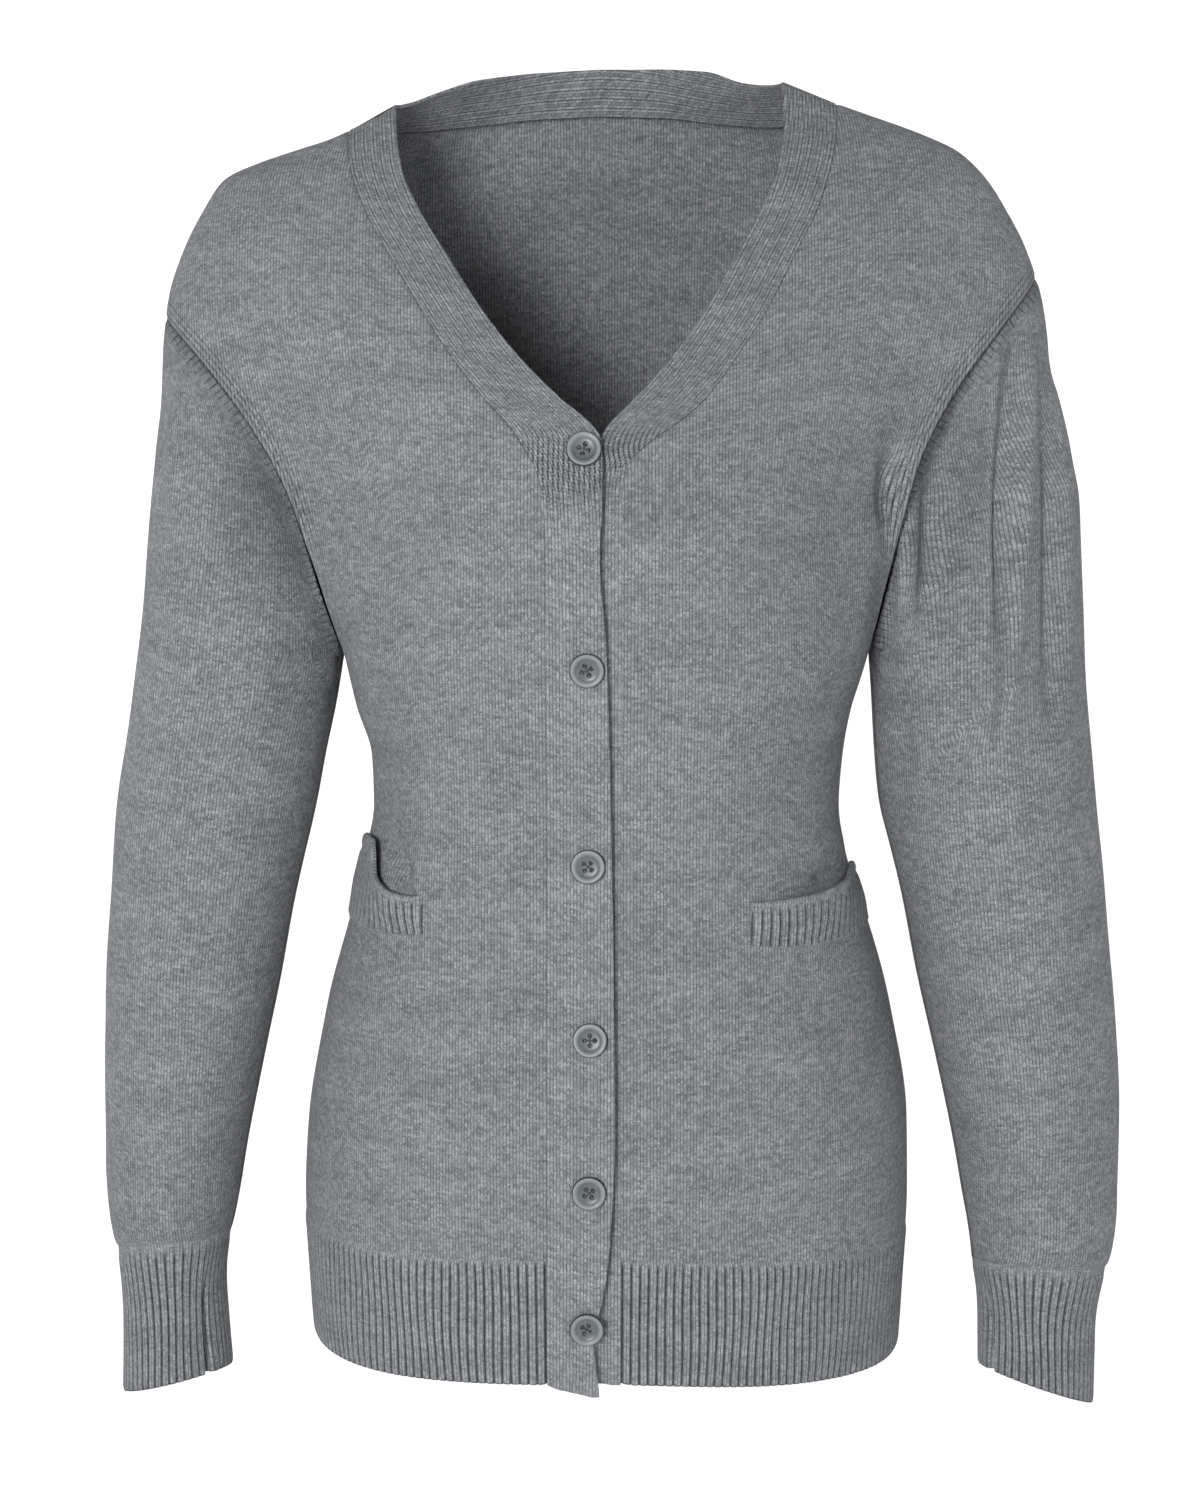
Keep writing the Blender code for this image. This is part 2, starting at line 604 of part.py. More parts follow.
def band_rows(side, line):
    """The heights of the shared rows on the band's seam or on its finished edge."""
    bottom = HEM_SEAM_Z
    lower = bottom + (UNDERARM_Z - bottom) * np.array(LOWER_ROWS)
    top_z = crossing(side, line)[1]
    upper = np.array(UPPER_ROWS)
    if line == "edge":
        shift = top_z - crossing(side, "seam")[1]
        upper = upper + shift * np.clip((upper + 0.054) / 0.045, 0, 1) ** 2
    return np.concatenate([lower, upper, [top_z]])


def upper_share(side):
    """How far up each shared row is between the underarm and the shoulder, from 0 to 1."""
    z = band_rows(side, "seam")[len(LOWER_ROWS) - 1 :]
    return (z - z[0]) / (z[-1] - z[0])


def side_rows(side):
    """The outer end of each shared row: up the side seam, then up the armhole."""
    side_z = hem_seam(side, "front", 1.0)
    z = side_z + (UNDERARM_Z - side_z) * np.array(LOWER_ROWS)
    below = np.stack([seam_x(side, z), z], axis=1)
    x_line, z_line = ARMHOLES[side]
    along = np.linspace(0, 1, len(x_line))
    share = 1 - upper_share(side)[1:]
    above = np.stack([np.interp(share, along, x_line), np.interp(share, along, z_line)], axis=1)
    above[-1, 0] = reach(side, above[-1, 1])
    return np.concatenate([below, above])


def shoulder_line(side):
    """Places along the ridge from the band's seam to the point of the shoulder. The front and the
    back both end on them."""
    x_line, z_line = OUTLINES[side]
    start, end = crossing(side, "seam"), side_rows(side)[-1]
    inside = (x_line > start[0]) & (z_line > end[1])
    line = np.concatenate([[start], np.stack([x_line, z_line], axis=1)[inside], [end]])
    length = np.concatenate([[0], np.cumsum(np.linalg.norm(np.diff(line, axis=0), axis=1))])
    at = np.linspace(0, length[-1], FRONT_COLUMNS + 1)
    return np.stack([np.interp(at, length, line[:, 0]), np.interp(at, length, line[:, 1])], axis=1)


def row_shares():
    """How far up every shared row is, for the parts of a patch that follow its top or bottom."""
    z = np.concatenate([HEM_SEAM_Z + (UNDERARM_Z - HEM_SEAM_Z) * np.array(LOWER_ROWS), UPPER_ROWS, [-0.008]])
    return (z - z[0]) / (z[-1] - z[0])


def front_grid(side):
    """The outer face of one front, from its hem seam to its shoulder seam."""
    seam_z = band_rows(side, "seam")
    left = np.stack([band_x(side, "seam", seam_z), seam_z], axis=1)
    right = side_rows(side)
    across = body_share(FRONT_COLUMNS, left[0, 0] / right[0, 0])
    bottom_x = left[0, 0] + (right[0, 0] - left[0, 0]) * across
    bottom = np.stack([bottom_x, hem_seam(side, "front", bottom_x / right[0, 0])], axis=1)
    left[0], right[0] = bottom[0], bottom[-1]
    places = patch(bottom, shoulder_line(side), left, right, across, row_shares())
    x = np.minimum(places[..., 0], seam_x(side, places[..., 1]) - 0.03 * (1 - across))
    return surface(side, "front", "body", x, places[..., 1])


def make_front(side):
    points, normals = front_grid(side)
    drawn = trimmed(
        points,
        first_row=SEAM_TRIM,
        last_row=SEAM_TRIM,
        first_column=SEAM_TRIM,
        last_column=SEAM_TRIM,
    )
    slit = (SLIT_ROW, SLIT_FIRST_COLUMN[side], FRONT_COLUMNS - 1)
    cloth_wall("front_" + side, drawn, normals, slit=slit)


def make_pocket_bag(side):
    """The bag hangs inside its front and follows its points."""
    points, normals = front_grid(side)
    rows = slice(BAG_ROWS[0], BAG_ROWS[1] + 1)
    kept = slice(SLIT_FIRST_COLUMN[side] - 1, FRONT_COLUMNS)
    inside = points[rows, kept] - normals[rows, kept] * BAG_DEPTH
    cloth_wall("pocket_bag_" + side, inside, normals[rows, kept], thick=WALL)


def make_front_band(side):
    """The doubled band, from the hem up to the shoulder. The right one rides over the left one."""
    seam_z, edge_z = band_rows(side, "seam"), band_rows(side, "edge")
    mouth = HEM_SEAM_Z - HEM_HEIGHT - 0.001
    below = np.linspace(mouth, HEM_SEAM_Z, 4)[:-1]
    seam_z, edge_z = np.concatenate([below, seam_z]), np.concatenate([below, edge_z])
    seam = np.stack([band_x(side, "seam", seam_z), seam_z], axis=1)
    edge = np.stack([band_x(side, "edge", edge_z), edge_z], axis=1)
    seam[-1], edge[-1] = crossing(side, "seam"), crossing(side, "edge")
    share = np.array([0, 0.20, 0.60, 1.0]) if side == "right" else np.array([0, 0.5, 1.0])
    places = seam[:, None] + (edge - seam)[:, None] * share[None, :, None]
    if side == "right":
        places[0, 1:-1, 1] -= 0.005 * np.array([0.4, 1.0])
    points, normals = surface(side, "front", "body", places[..., 0], places[..., 1])
    drawn = trimmed(points, last_row=SEAM_TRIM, first_column=SEAM_TRIM)
    lift = np.zeros(drawn.shape[:2])
    if side == "right":
        fade = 1 - np.clip((places[..., 1] - LIFT_FULL_Z) / (LIFT_NONE_Z - LIFT_FULL_Z), 0, 1)
        lift = LAP_LIFT * fade * np.array([0.15, 1, 1, 1])[None, :]
    cloth_wall("front_band_" + side, drawn, normals, outward=lift, thick=BAND_WALL)


def back_neck(side, across, line):
    """The back neck's seam or its finished edge, from the centre back to the shoulder."""
    table = columns(BACK_NECK)
    end = crossing(side, line)
    knots = np.append(table["across"], 1.0)
    heights = smooth(across, knots, np.append(table[line + "_" + side], end[1]))
    return np.stack([end[0] * across, heights], axis=-1)


def half_back(side):
    """Half of the back's outer face, from the centre back to the side."""
    right = side_rows(side)
    across = body_share(NECK_COLUMNS + FRONT_COLUMNS, 0.0)
    bottom_x = right[0, 0] * across
    bottom = np.stack([bottom_x, hem_seam(side, "back", across)], axis=1)
    right[0] = bottom[-1]
    neck = back_neck(side, NECK_SHARES, "seam")
    top = np.concatenate([neck, shoulder_line(side)[1:]])
    up = row_shares()
    left = np.stack([np.zeros(len(up)), bottom[0, 1] + (top[0, 1] - bottom[0, 1]) * up], axis=1)
    places = patch(bottom, top, left, right, across, up)
    x = np.minimum(places[..., 0], seam_x(side, places[..., 1]) - 0.03 * (1 - across))
    return surface(side, "back", "body", x, places[..., 1])


def make_back():
    halves = [half_back(side) for side in ("right", "left")]
    points = np.concatenate([halves[0][0][:, ::-1], halves[1][0][:, 1:]], axis=1)
    normals = np.concatenate([halves[0][1][:, ::-1], halves[1][1][:, 1:]], axis=1)
    drawn = trimmed(
        points,
        first_row=SEAM_TRIM,
        last_row=SEAM_TRIM,
        first_column=SEAM_TRIM,
        last_column=SEAM_TRIM,
    )
    cloth_wall("back", drawn, normals)


def make_back_band():
    halves = []
    for side in ("right", "left"):
        seam, edge = back_neck(side, NECK_SHARES, "seam"), back_neck(side, NECK_SHARES, "edge")
        share = np.array([0, 0.5, 1.0])[:, None, None]
        places = seam[None] * (1 - share) + edge[None] * share
        halves.append(surface(side, "back", "body", places[..., 0], places[..., 1]))
    points = np.concatenate([halves[0][0][:, ::-1], halves[1][0][:, 1:]], axis=1)
    normals = np.concatenate([halves[0][1][:, ::-1], halves[1][1][:, 1:]], axis=1)
    drawn = trimmed(points, first_row=SEAM_TRIM, first_column=SEAM_TRIM, last_column=SEAM_TRIM)
    cloth_wall("neck_band_back", drawn, normals, thick=BAND_WALL)


def cuff_place(side, turn, down):
    """A place on the cuff: turned from its outer side at 0 over the front, and down from its seam
    to its mouth."""
    ends = CUFF_ENDS[side]
    across = (1 - np.cos(2 * np.pi * turn)) / 2
    top = ends["seam"] - SEAM_TRIM + ends["seam_rise"] * across
    mouth = ends["mouth"] + ends["mouth_rise"] * across
    z = top + (mouth - top) * down + CUFF_FRONT_RISE * np.sin(2 * np.pi * turn)
    inner = smooth(z, CUFFS["z"], CUFFS["in_" + side])
    outer = smooth(z, CUFFS["z"], CUFFS["out_" + side])
    return outer + (inner - outer) * across, z


def make_sleeve(side):
    """A tube from the armhole to the cuff, whose columns start at the armhole's own points."""
    armhole = side_rows(side)[len(LOWER_ROWS) - 1 :][::-1]
    half_turn = (1 - upper_share(side)[::-1]) / 2
    across = (1 - np.cos(2 * np.pi * half_turn)) / 2
    up = np.concatenate([np.linspace(0, 1, SLEEVE_ROWS - 1)[:-1] * 0.975, [0.975, 0.992, 1.0]])
    faces = []
    for face in ("front", "back"):
        cuff_x, cuff_z = cuff_place(side, half_turn if face == "front" else -half_turn, 0.0)
        inner, outer = sleeve_in_x(side, cuff_z), reach(side, cuff_z)
        bottom = np.stack([outer + (inner - outer) * across, cuff_z], axis=1)
        out_z = armhole[0, 1] + (cuff_z[0] - armhole[0, 1]) * up
        left = np.stack([reach(side, out_z), out_z], axis=1)
        in_z = UNDERARM_Z + (cuff_z[-1] - UNDERARM_Z) * up
        right = np.stack([sleeve_in_x(side, in_z), in_z], axis=1)
        left[0], right[0] = armhole[0], armhole[-1]
        places = patch(armhole, bottom, left, right, across, up)
        x = np.minimum(places[..., 0], reach(side, places[..., 1]))
        x = np.maximum(x, sleeve_in_x(side, places[..., 1]))
        x[:, 0], x[:, -1] = reach(side, places[:, 0, 1]), sleeve_in_x(side, places[:, -1, 1])
        x[0] = armhole[:, 0]
        points, normals = surface(side, face, "sleeve", x, places[..., 1])
        cuff_points, _ = surface(side, face, "cuff", cuff_x, cuff_z)
        points[-1] = cuff_points
        points[-2] = points[-2] * 0.75 + cuff_points * 0.25
        normals[-1] = normals[-1] * 0.75 - np.array([0, 0, 0.75])
        normals[-2] = normals[-2] - np.array([0, 0, 0.45])
        faces.append((points, normals / np.linalg.norm(normals, axis=-1, keepdims=True)))
    points = np.concatenate([faces[0][0], faces[1][0][:, -2:0:-1]], axis=1)
    normals = np.concatenate([faces[0][1], faces[1][1][:, -2:0:-1]], axis=1)
    drawn = trimmed(points, first_row=SEAM_TRIM)
    drawn[-1, :, 2] += 2 * SEAM_TRIM
    cloth_wall("sleeve_" + side, drawn, normals, ring=True)


def make_cuff(side):
    """A ribbed tube. Its ribs are evenly spaced round it."""

    def ring(turn, down):
        turn, down = np.broadcast_arrays(turn, down)
        x, z = cuff_place(side, turn, down)
        front = surface(side, "front", "cuff", x, z)
        back = surface(side, "back", "cuff", x, z)
        is_front = (turn <= 0.5)[..., None]
        return np.where(is_front, front[0], back[0]), np.where(is_front, front[1], back[1])

    ribbed_wall("cuff_" + side, ring, CUFF_PITCH, (0, 0.5, 1), ring=True)


def make_hem(name, stretches):
    """A ribbed strip under a front or the back. A stretch is a side, a face and where it starts
    and ends, as shares of the way from the centre to the side."""

    def strip(share, down):
        share, down = np.broadcast_arrays(share, down)
        points = np.zeros((*share.shape, 3))
        normals = np.zeros((*share.shape, 3))
        for k, (side, face, start, end) in enumerate(stretches):
            inside = (share * len(stretches) >= k) & (share * len(stretches) <= k + 1)
            local = np.clip(share * len(stretches) - k, 0, 1)
            first, last = math.asin(start ** (1 / 0.9)), math.asin(end ** (1 / 0.9))
            across = np.abs(np.sin(first + (last - first) * local)) ** 0.9
            z = hem_seam(side, face, across) - SEAM_TRIM - (HEM_HEIGHT - SEAM_TRIM) * down
            x = seam_x(side, z) * across
            made = surface(side, face, "body", x, z)
            made[0][..., 1] += FACING[face] * SEAM_TRIM * (across > 0.9999)
            points[inside], normals[inside] = made[0][inside], made[1][inside]
        return points, normals

    ribbed_wall(name, strip, HEM_PITCH, (0, 0.72, 1))


def make_hems():
    for side in ("right", "left"):
        band_seam = band_x(side, "seam", np.array(HEM_SEAM_Z - HEM_HEIGHT / 2))
        start = (band_seam + 2 * SEAM_TRIM) / seam_x(side, np.array(hem_seam(side, "front", 1.0)))
        make_hem("hem_rib_" + side, [(side, "front", float(start), 1.0)])
    make_hem("hem_rib_back", [("right", "back", 1.0, 0.0), ("left", "back", 0.0, 1.0)])


def make_welt(side):
    """A ribbed strip sewn on under the slit. Its mouth stands away from the front."""
    foot, mouth = columns(WELTS), columns(MOUTHS)

    def strip(share, down):
        share, down = np.broadcast_arrays(share, down)
        line = [
            np.stack([smooth(share, t["along"], t[side]), smooth(share, t["along"], t[side + "_z"])], -1)
            for t in (mouth, foot)
        ]
        places = line[0] + (line[1] - line[0]) * down[..., None]
        limit = seam_x(side, places[..., 1]) * 0.9985
        points, normals = surface(side, "front", "body", np.minimum(places[..., 0], limit), places[..., 1])
        out = smooth(share, mouth["along"], mouth[side + "_out"]) * (1 - down) ** 1.5
        return points + normals * out[..., None], normals

    ribbed_wall("pocket_welt_" + side, strip, WELT_PITCH, (0, 0.4, 1), outward=0.0023)


def make_buttons():
    """Six dished buttons with four holes, turned once and then set square to the band."""
    half = 16
    profile = (
        (0.0000, 0.0000),
        (0.0072, 0.0000),
        (BUTTON_RADIUS, 0.0012),
        (0.0077, BUTTON_HEIGHT),
        (0.0056, BUTTON_HEIGHT),
        (0.0049, 0.0019),
        (0.0000, 0.0018),
    )
    build = bmesh.new()
    line = [build.verts.new((r, 0, h)) for r, h in profile]
    edges = [build.edges.new(pair) for pair in zip(line, line[1:])]
    bmesh.ops.spin(
        build, geom=line + edges, cent=(0, 0, 0), axis=(0, 0, 1), angle=2 * math.pi, steps=half, use_merge=True
    )
    bmesh.ops.remove_doubles(build, verts=build.verts, dist=1e-5)
    bmesh.ops.recalc_face_normals(build, faces=build.faces)
    turned = bpy.data.meshes.new("turned")
    build.to_mesh(turned)
    build.free()
    master = bpy.data.objects.new("turned", turned)
    bpy.context.collection.objects.link(master)
    holes = bmesh.new()
    for k in range(4):
        angle = math.pi / 4 + k * math.pi / 2
        place = Matrix.Translation((0.0019 * math.cos(angle), 0.0019 * math.sin(angle), 0.001))
        bmesh.ops.create_cone(
            holes, cap_ends=True, segments=6, radius1=0.0009, radius2=0.0009, depth=0.006, matrix=place
        )
    drill_mesh = bpy.data.meshes.new("drill")
    holes.to_mesh(drill_mesh)
    holes.free()
    drill = bpy.data.objects.new("drill", drill_mesh)
    bpy.context.collection.objects.link(drill)
    cut = master.modifiers.new("holes", "BOOLEAN")
    cut.object = drill
    cut.operation = "DIFFERENCE"
    graph = bpy.context.evaluated_depsgraph_get()
    drilled = bpy.data.meshes.new_from_object(master.evaluated_get(graph))
    bpy.data.objects.remove(master)
    bpy.data.objects.remove(drill)
    drilled.materials.clear()
    drilled.materials.append(material("button", BUTTON_GREY, 0.35))
    places = columns(BUTTONS)
    for k, (x, z) in enumerate(zip(places["x"], places["z"])):
        points, normals = surface("right", "front", "body", np.array(-x), np.array(z))
        out = Vector(normals)
        seat = Vector(points) + out * (LAP_LIFT + BUTTON_GAP)
        turned_to = out.to_track_quat("Z", "Y").to_matrix().to_4x4()
        button = bpy.data.objects.new(f"button_{k + 1}", drilled.copy())
        button.matrix_world = Matrix.Translation(seat) @ turned_to
        bpy.context.collection.objects.link(button)


def main():
    for obj in list(bpy.data.objects):
        bpy.data.objects.remove(obj)
    for side in ("right", "left"):
        make_front(side)
        make_front_band(side)
        make_pocket_bag(side)
        make_welt(side)
        make_sleeve(side)
        make_cuff(side)
    make_back()
    make_back_band()
    make_hems()
    make_buttons()


main()
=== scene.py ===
# %% [markdown]
# # A button cardigan, worn and hollow
# This is a fine knitted cardigan with a V neck, dropped shoulders, long sleeves, ribbed hem and
# cuffs, two pockets with ribbed welts, and six buttons. We dress a plain CAD frame of it. Each
# sewn piece gets its own thin sheet, because light, folds and seams only look right on sheets
# that meet where a maker would sew them. Lengths are in metres, the front faces -Y, and the
# wearer's left is +X.

import math

import bmesh
import bpy
import numpy as np
from mathutils import Matrix, Vector


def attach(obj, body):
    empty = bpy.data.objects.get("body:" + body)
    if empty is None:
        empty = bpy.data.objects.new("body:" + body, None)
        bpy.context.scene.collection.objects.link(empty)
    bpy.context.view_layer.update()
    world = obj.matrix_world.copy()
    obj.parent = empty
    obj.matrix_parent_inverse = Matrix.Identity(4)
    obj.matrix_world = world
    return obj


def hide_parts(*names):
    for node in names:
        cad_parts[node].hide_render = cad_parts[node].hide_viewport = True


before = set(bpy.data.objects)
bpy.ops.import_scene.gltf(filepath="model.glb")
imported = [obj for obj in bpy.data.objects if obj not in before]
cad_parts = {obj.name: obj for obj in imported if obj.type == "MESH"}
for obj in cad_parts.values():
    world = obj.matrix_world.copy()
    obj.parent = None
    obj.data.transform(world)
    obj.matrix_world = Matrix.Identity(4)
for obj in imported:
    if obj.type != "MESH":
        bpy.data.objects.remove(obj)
bpy.ops.object.select_all(action="DESELECT")
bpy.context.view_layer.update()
print("CAD nodes", len(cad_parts))

# %% [markdown]
# ## The cut of the garment
# A knit takes its shape from a few lines: the outline over the shoulders and down the sleeves, the
# armhole, the sides, and how deep the body is. We keep them as short tables by height. A smooth
# curve through each table gives as many points as a sheet needs.

# %% Named sizes
WALL = 0.0016  # single knit
BAND_WALL = 0.0024  # the doubled bands
RIB_WALL = 0.0014  # the ribbing between its ribs
RIB_HEIGHT = 0.0009  # from the grooves to the tops of the ribs
SEAM_TRIM = 0.0003  # how far each piece stops short of a seam
HEM_PITCH = 0.0044  # from one rib to the next
CUFF_PITCH = 0.0040
WELT_PITCH = 0.0051
UNDERARM_Z = -0.285
ARMHOLE_ROUND = 0.090  # height over which the armhole opens to its full depth
ARMHOLE_DEPTH = 0.047  # from the middle of the garment to the seam, front and back
BODY_POWER = 2.35  # 2 is an ellipse, and more is squarer
HEM_SEAM_Z = -0.582  # at the centre front
HEM_SIDE_DROP = {"right": 0.008, "left": 0.016}  # how much lower the sides hang
HEM_BACK_Z = -0.602  # at the centre back
HEM_HEIGHT = 0.067
LAP_LIFT = 0.0030  # how far the upper front band rides over the lower one
UNDER_LAP_X = 0.020  # the hidden edge of the lower band, past the centre front
BUTTON_HEIGHT = 0.0028
BUTTON_GAP = 0.0006  # between a button and the band
FRONT_COLUMNS = 10  # from the band's seam to the side
NECK_COLUMNS = 4  # from the centre back to the shoulder
SIGN = {"right": -1.0, "left": 1.0}  # the wearer's sides along x
FACING = {"front": -1.0, "back": 1.0}  # along y
print("body from shoulder to hem", round(-HEM_SEAM_Z + HEM_HEIGHT, 3))

# %% The outline, the armholes and the sides
OUTLINE = (
    ("z", "right", "left"),
    (0.170, 0.000, 0.000),
    (0.095, 0.040, 0.041),
    (0.045, 0.068, 0.070),
    (0.020, 0.0890, 0.0890),
    (0.0105, 0.0990, 0.0975),
    (0.0065, 0.1015, 0.1090),
    (0.0028, 0.1045, 0.1190),
    (-0.0038, 0.1130, 0.1377),
    (-0.0113, 0.1285, 0.1600),
    (-0.017, 0.1410, 0.1745),
    (-0.0223, 0.1575, 0.1853),
    (-0.030, 0.1800, 0.1950),
    (-0.0376, 0.1960, 0.2019),
    (-0.0529, 0.2075, 0.2122),
    (-0.073, 0.2180, 0.2235),
    (-0.099, 0.2268, 0.2325),
    (-0.125, 0.2305, 0.2372),
    (-0.152, 0.2320, 0.2425),
    (-0.180, 0.2362, 0.2495),
    (-0.204, 0.2395, 0.2555),
    (-0.257, 0.2448, 0.2592),
    (-0.311, 0.2518, 0.2625),
    (-0.365, 0.2605, 0.2685),
    (-0.419, 0.2654, 0.2742),
    (-0.475, 0.2697, 0.2795),
    (-0.531, 0.2705, 0.2842),
    (-0.588, 0.2712, 0.2850),
    (-0.625, 0.2700, 0.2840),
)
ARMHOLE = (
    ("along", "right", "right_z", "left", "left_z"),
    (0.0, 0.2290, -0.108, 0.2300, -0.087),
    (0.2, 0.2035, -0.134, 0.2050, -0.117),
    (0.4, 0.1790, -0.166, 0.1810, -0.149),
    (0.6, 0.1612, -0.199, 0.1630, -0.187),
    (0.8, 0.1480, -0.241, 0.1525, -0.232),
    (1.0, 0.1365, UNDERARM_Z, 0.1435, UNDERARM_Z),
)
SIDES = (
    ("z", "body_right", "body_left", "sleeve_right", "sleeve_left"),
    (UNDERARM_Z, 0.1365, 0.1435, 0.1375, 0.1445),
    (-0.312, 0.1305, 0.1355, 0.1425, 0.1472),
    (-0.340, 0.1232, 0.1310, 0.1485, 0.1488),
    (-0.367, 0.1228, 0.1290, 0.1535, 0.1515),
    (-0.395, 0.1280, 0.1340, 0.1600, 0.1580),
    (-0.423, 0.1352, 0.1438, 0.1662, 0.1648),
    (-0.479, 0.1495, 0.1590, 0.1778, 0.1773),
    (-0.536, 0.1592, 0.1680, 0.1905, 0.1908),
    (-0.580, 0.1622, 0.1695, 0.1985, 0.1995),
    (-0.610, 0.1612, 0.1685, 0.2035, 0.2055),
    (-0.640, 0.1603, 0.1672, 0.2070, 0.2085),
    (-0.658, 0.1590, 0.1660, 0.2080, 0.2090),
    (-0.690, 0.1560, 0.1640, 0.2080, 0.2090),
)
print("outline rows", len(OUTLINE) - 1, "and armhole rows", len(ARMHOLE) - 1)

# %% How deep the body and the sleeves are
BODY_DEPTH = (
    ("z", "front", "back", "middle"),
    (0.060, 0.020, 0.052, 0.004),
    (0.030, 0.026, 0.058, 0.004),
    (0.000, 0.032, 0.067, 0.004),
    (-0.030, 0.048, 0.078, 0.004),
    (-0.060, 0.064, 0.088, 0.004),
    (-0.100, 0.082, 0.097, 0.004),
    (-0.140, 0.098, 0.101, 0.004),
    (-0.180, 0.110, 0.101, 0.004),
    (-0.230, 0.120, 0.096, 0.004),
    (UNDERARM_Z, 0.115, 0.087, 0.004),
    (-0.366, 0.099, 0.075, 0.004),
    (-0.420, 0.103, 0.086, 0.004),
    (-0.470, 0.112, 0.101, 0.003),
    (-0.550, 0.121, 0.113, 0.002),
    (-0.610, 0.121, 0.111, 0.002),
    (-0.655, 0.117, 0.107, 0.002),
    (-0.690, 0.110, 0.100, 0.002),
)
SLEEVE_DEPTH = (
    ("z", "depth", "middle"),
    (-0.080, 0.050, 0.004),
    (-0.200, 0.056, 0.004),
    (UNDERARM_Z, 0.058, 0.004),
    (-0.350, 0.057, 0.001),
    (-0.450, 0.052, -0.006),
    (-0.560, 0.046, -0.010),
    (-0.612, 0.043, -0.012),
    (-0.700, 0.043, -0.014),
)
CUFF = (
    ("z", "in_right", "out_right", "in_left", "out_left", "depth"),
    (-0.595, 0.2070, 0.2620, 0.2080, 0.2770, 0.0330),
    (-0.625, 0.2085, 0.2630, 0.2095, 0.2758, 0.0330),
    (-0.655, 0.2072, 0.2633, 0.2108, 0.2738, 0.0335),
    (-0.705, 0.2040, 0.2650, 0.2120, 0.2738, 0.0345),
)
CUFF_ENDS = {
    "right": {"seam": -0.612, "seam_rise": 0.008, "mouth": -0.696, "mouth_rise": 0.014},
    "left": {"seam": -0.623, "seam_rise": 0.003, "mouth": -0.703, "mouth_rise": 0.021},
}
CUFF_FRONT_RISE = 0.009  # how far a cuff's front is lifted, and its back lowered
print("cuff length, right", round(CUFF_ENDS["right"]["seam"] - CUFF_ENDS["right"]["mouth"], 3))

# %% The neckline's bands
V_BAND = (
    ("z", "edge_right", "seam_right", "edge_left", "seam_left"),
    (-0.700, -0.0010, 0.0270, -UNDER_LAP_X, 0.0105),
    (-0.650, 0.0000, 0.0270, -UNDER_LAP_X, 0.0105),
    (-0.608, -0.0020, 0.0268, -UNDER_LAP_X, 0.0105),
    (-0.565, -0.0055, 0.0266, -UNDER_LAP_X, 0.0105),
    (-0.519, -0.0075, 0.0266, -UNDER_LAP_X, 0.0105),
    (-0.380, -0.0060, 0.0265, -UNDER_LAP_X, 0.0105),
    (-0.270, -0.0030, 0.0263, -UNDER_LAP_X, 0.0105),
    (-0.230, 0.0000, 0.0264, -UNDER_LAP_X, 0.0105),
    (-0.201, -0.0012, 0.0275, -0.0195, 0.0107),
    (-0.186, -0.0012, 0.0315, -0.0130, 0.0125),
    (-0.173, -0.0006, 0.0390, -0.0010, 0.0245),
    (-0.165, 0.0050, 0.0448, 0.0040, 0.0365),
    (-0.153, 0.0190, 0.0560, 0.0160, 0.0510),
    (-0.129, 0.0420, 0.0750, 0.0375, 0.0690),
    (-0.105, 0.0605, 0.0905, 0.0540, 0.0845),
    (-0.080, 0.0765, 0.1055, 0.0685, 0.0975),
    (-0.055, 0.0920, 0.1195, 0.0820, 0.1100),
    (-0.034, 0.1010, 0.1272, 0.0900, 0.1170),
    (-0.015, 0.1048, 0.1300, 0.0942, 0.1210),
    (0.015, 0.1080, 0.1310, 0.0952, 0.1235),
)
LIFT_FULL_Z = -0.166  # the upper band rides over the lower one below this height
LIFT_NONE_Z = -0.128
BACK_NECK = (
    ("across", "seam_right", "seam_left", "edge_right", "edge_left"),
    (0.0, 0.004, 0.004, 0.0280, 0.0280),
    (0.3, 0.002, 0.003, 0.0262, 0.0280),
    (0.6, -0.003, -0.001, 0.0208, 0.0252),
    (0.8, -0.0075, -0.004, 0.0124, 0.0176),
)
print("band rows", len(V_BAND) - 1)

# %% Shared rows, pockets and buttons
# shares of the height from the hem's seam to the underarm
LOWER_ROWS = (0.0, 0.09, 0.18, 0.27, 0.36, 0.45, 0.548, 0.560, 0.64, 0.73, 0.82, 0.91, 1.0)
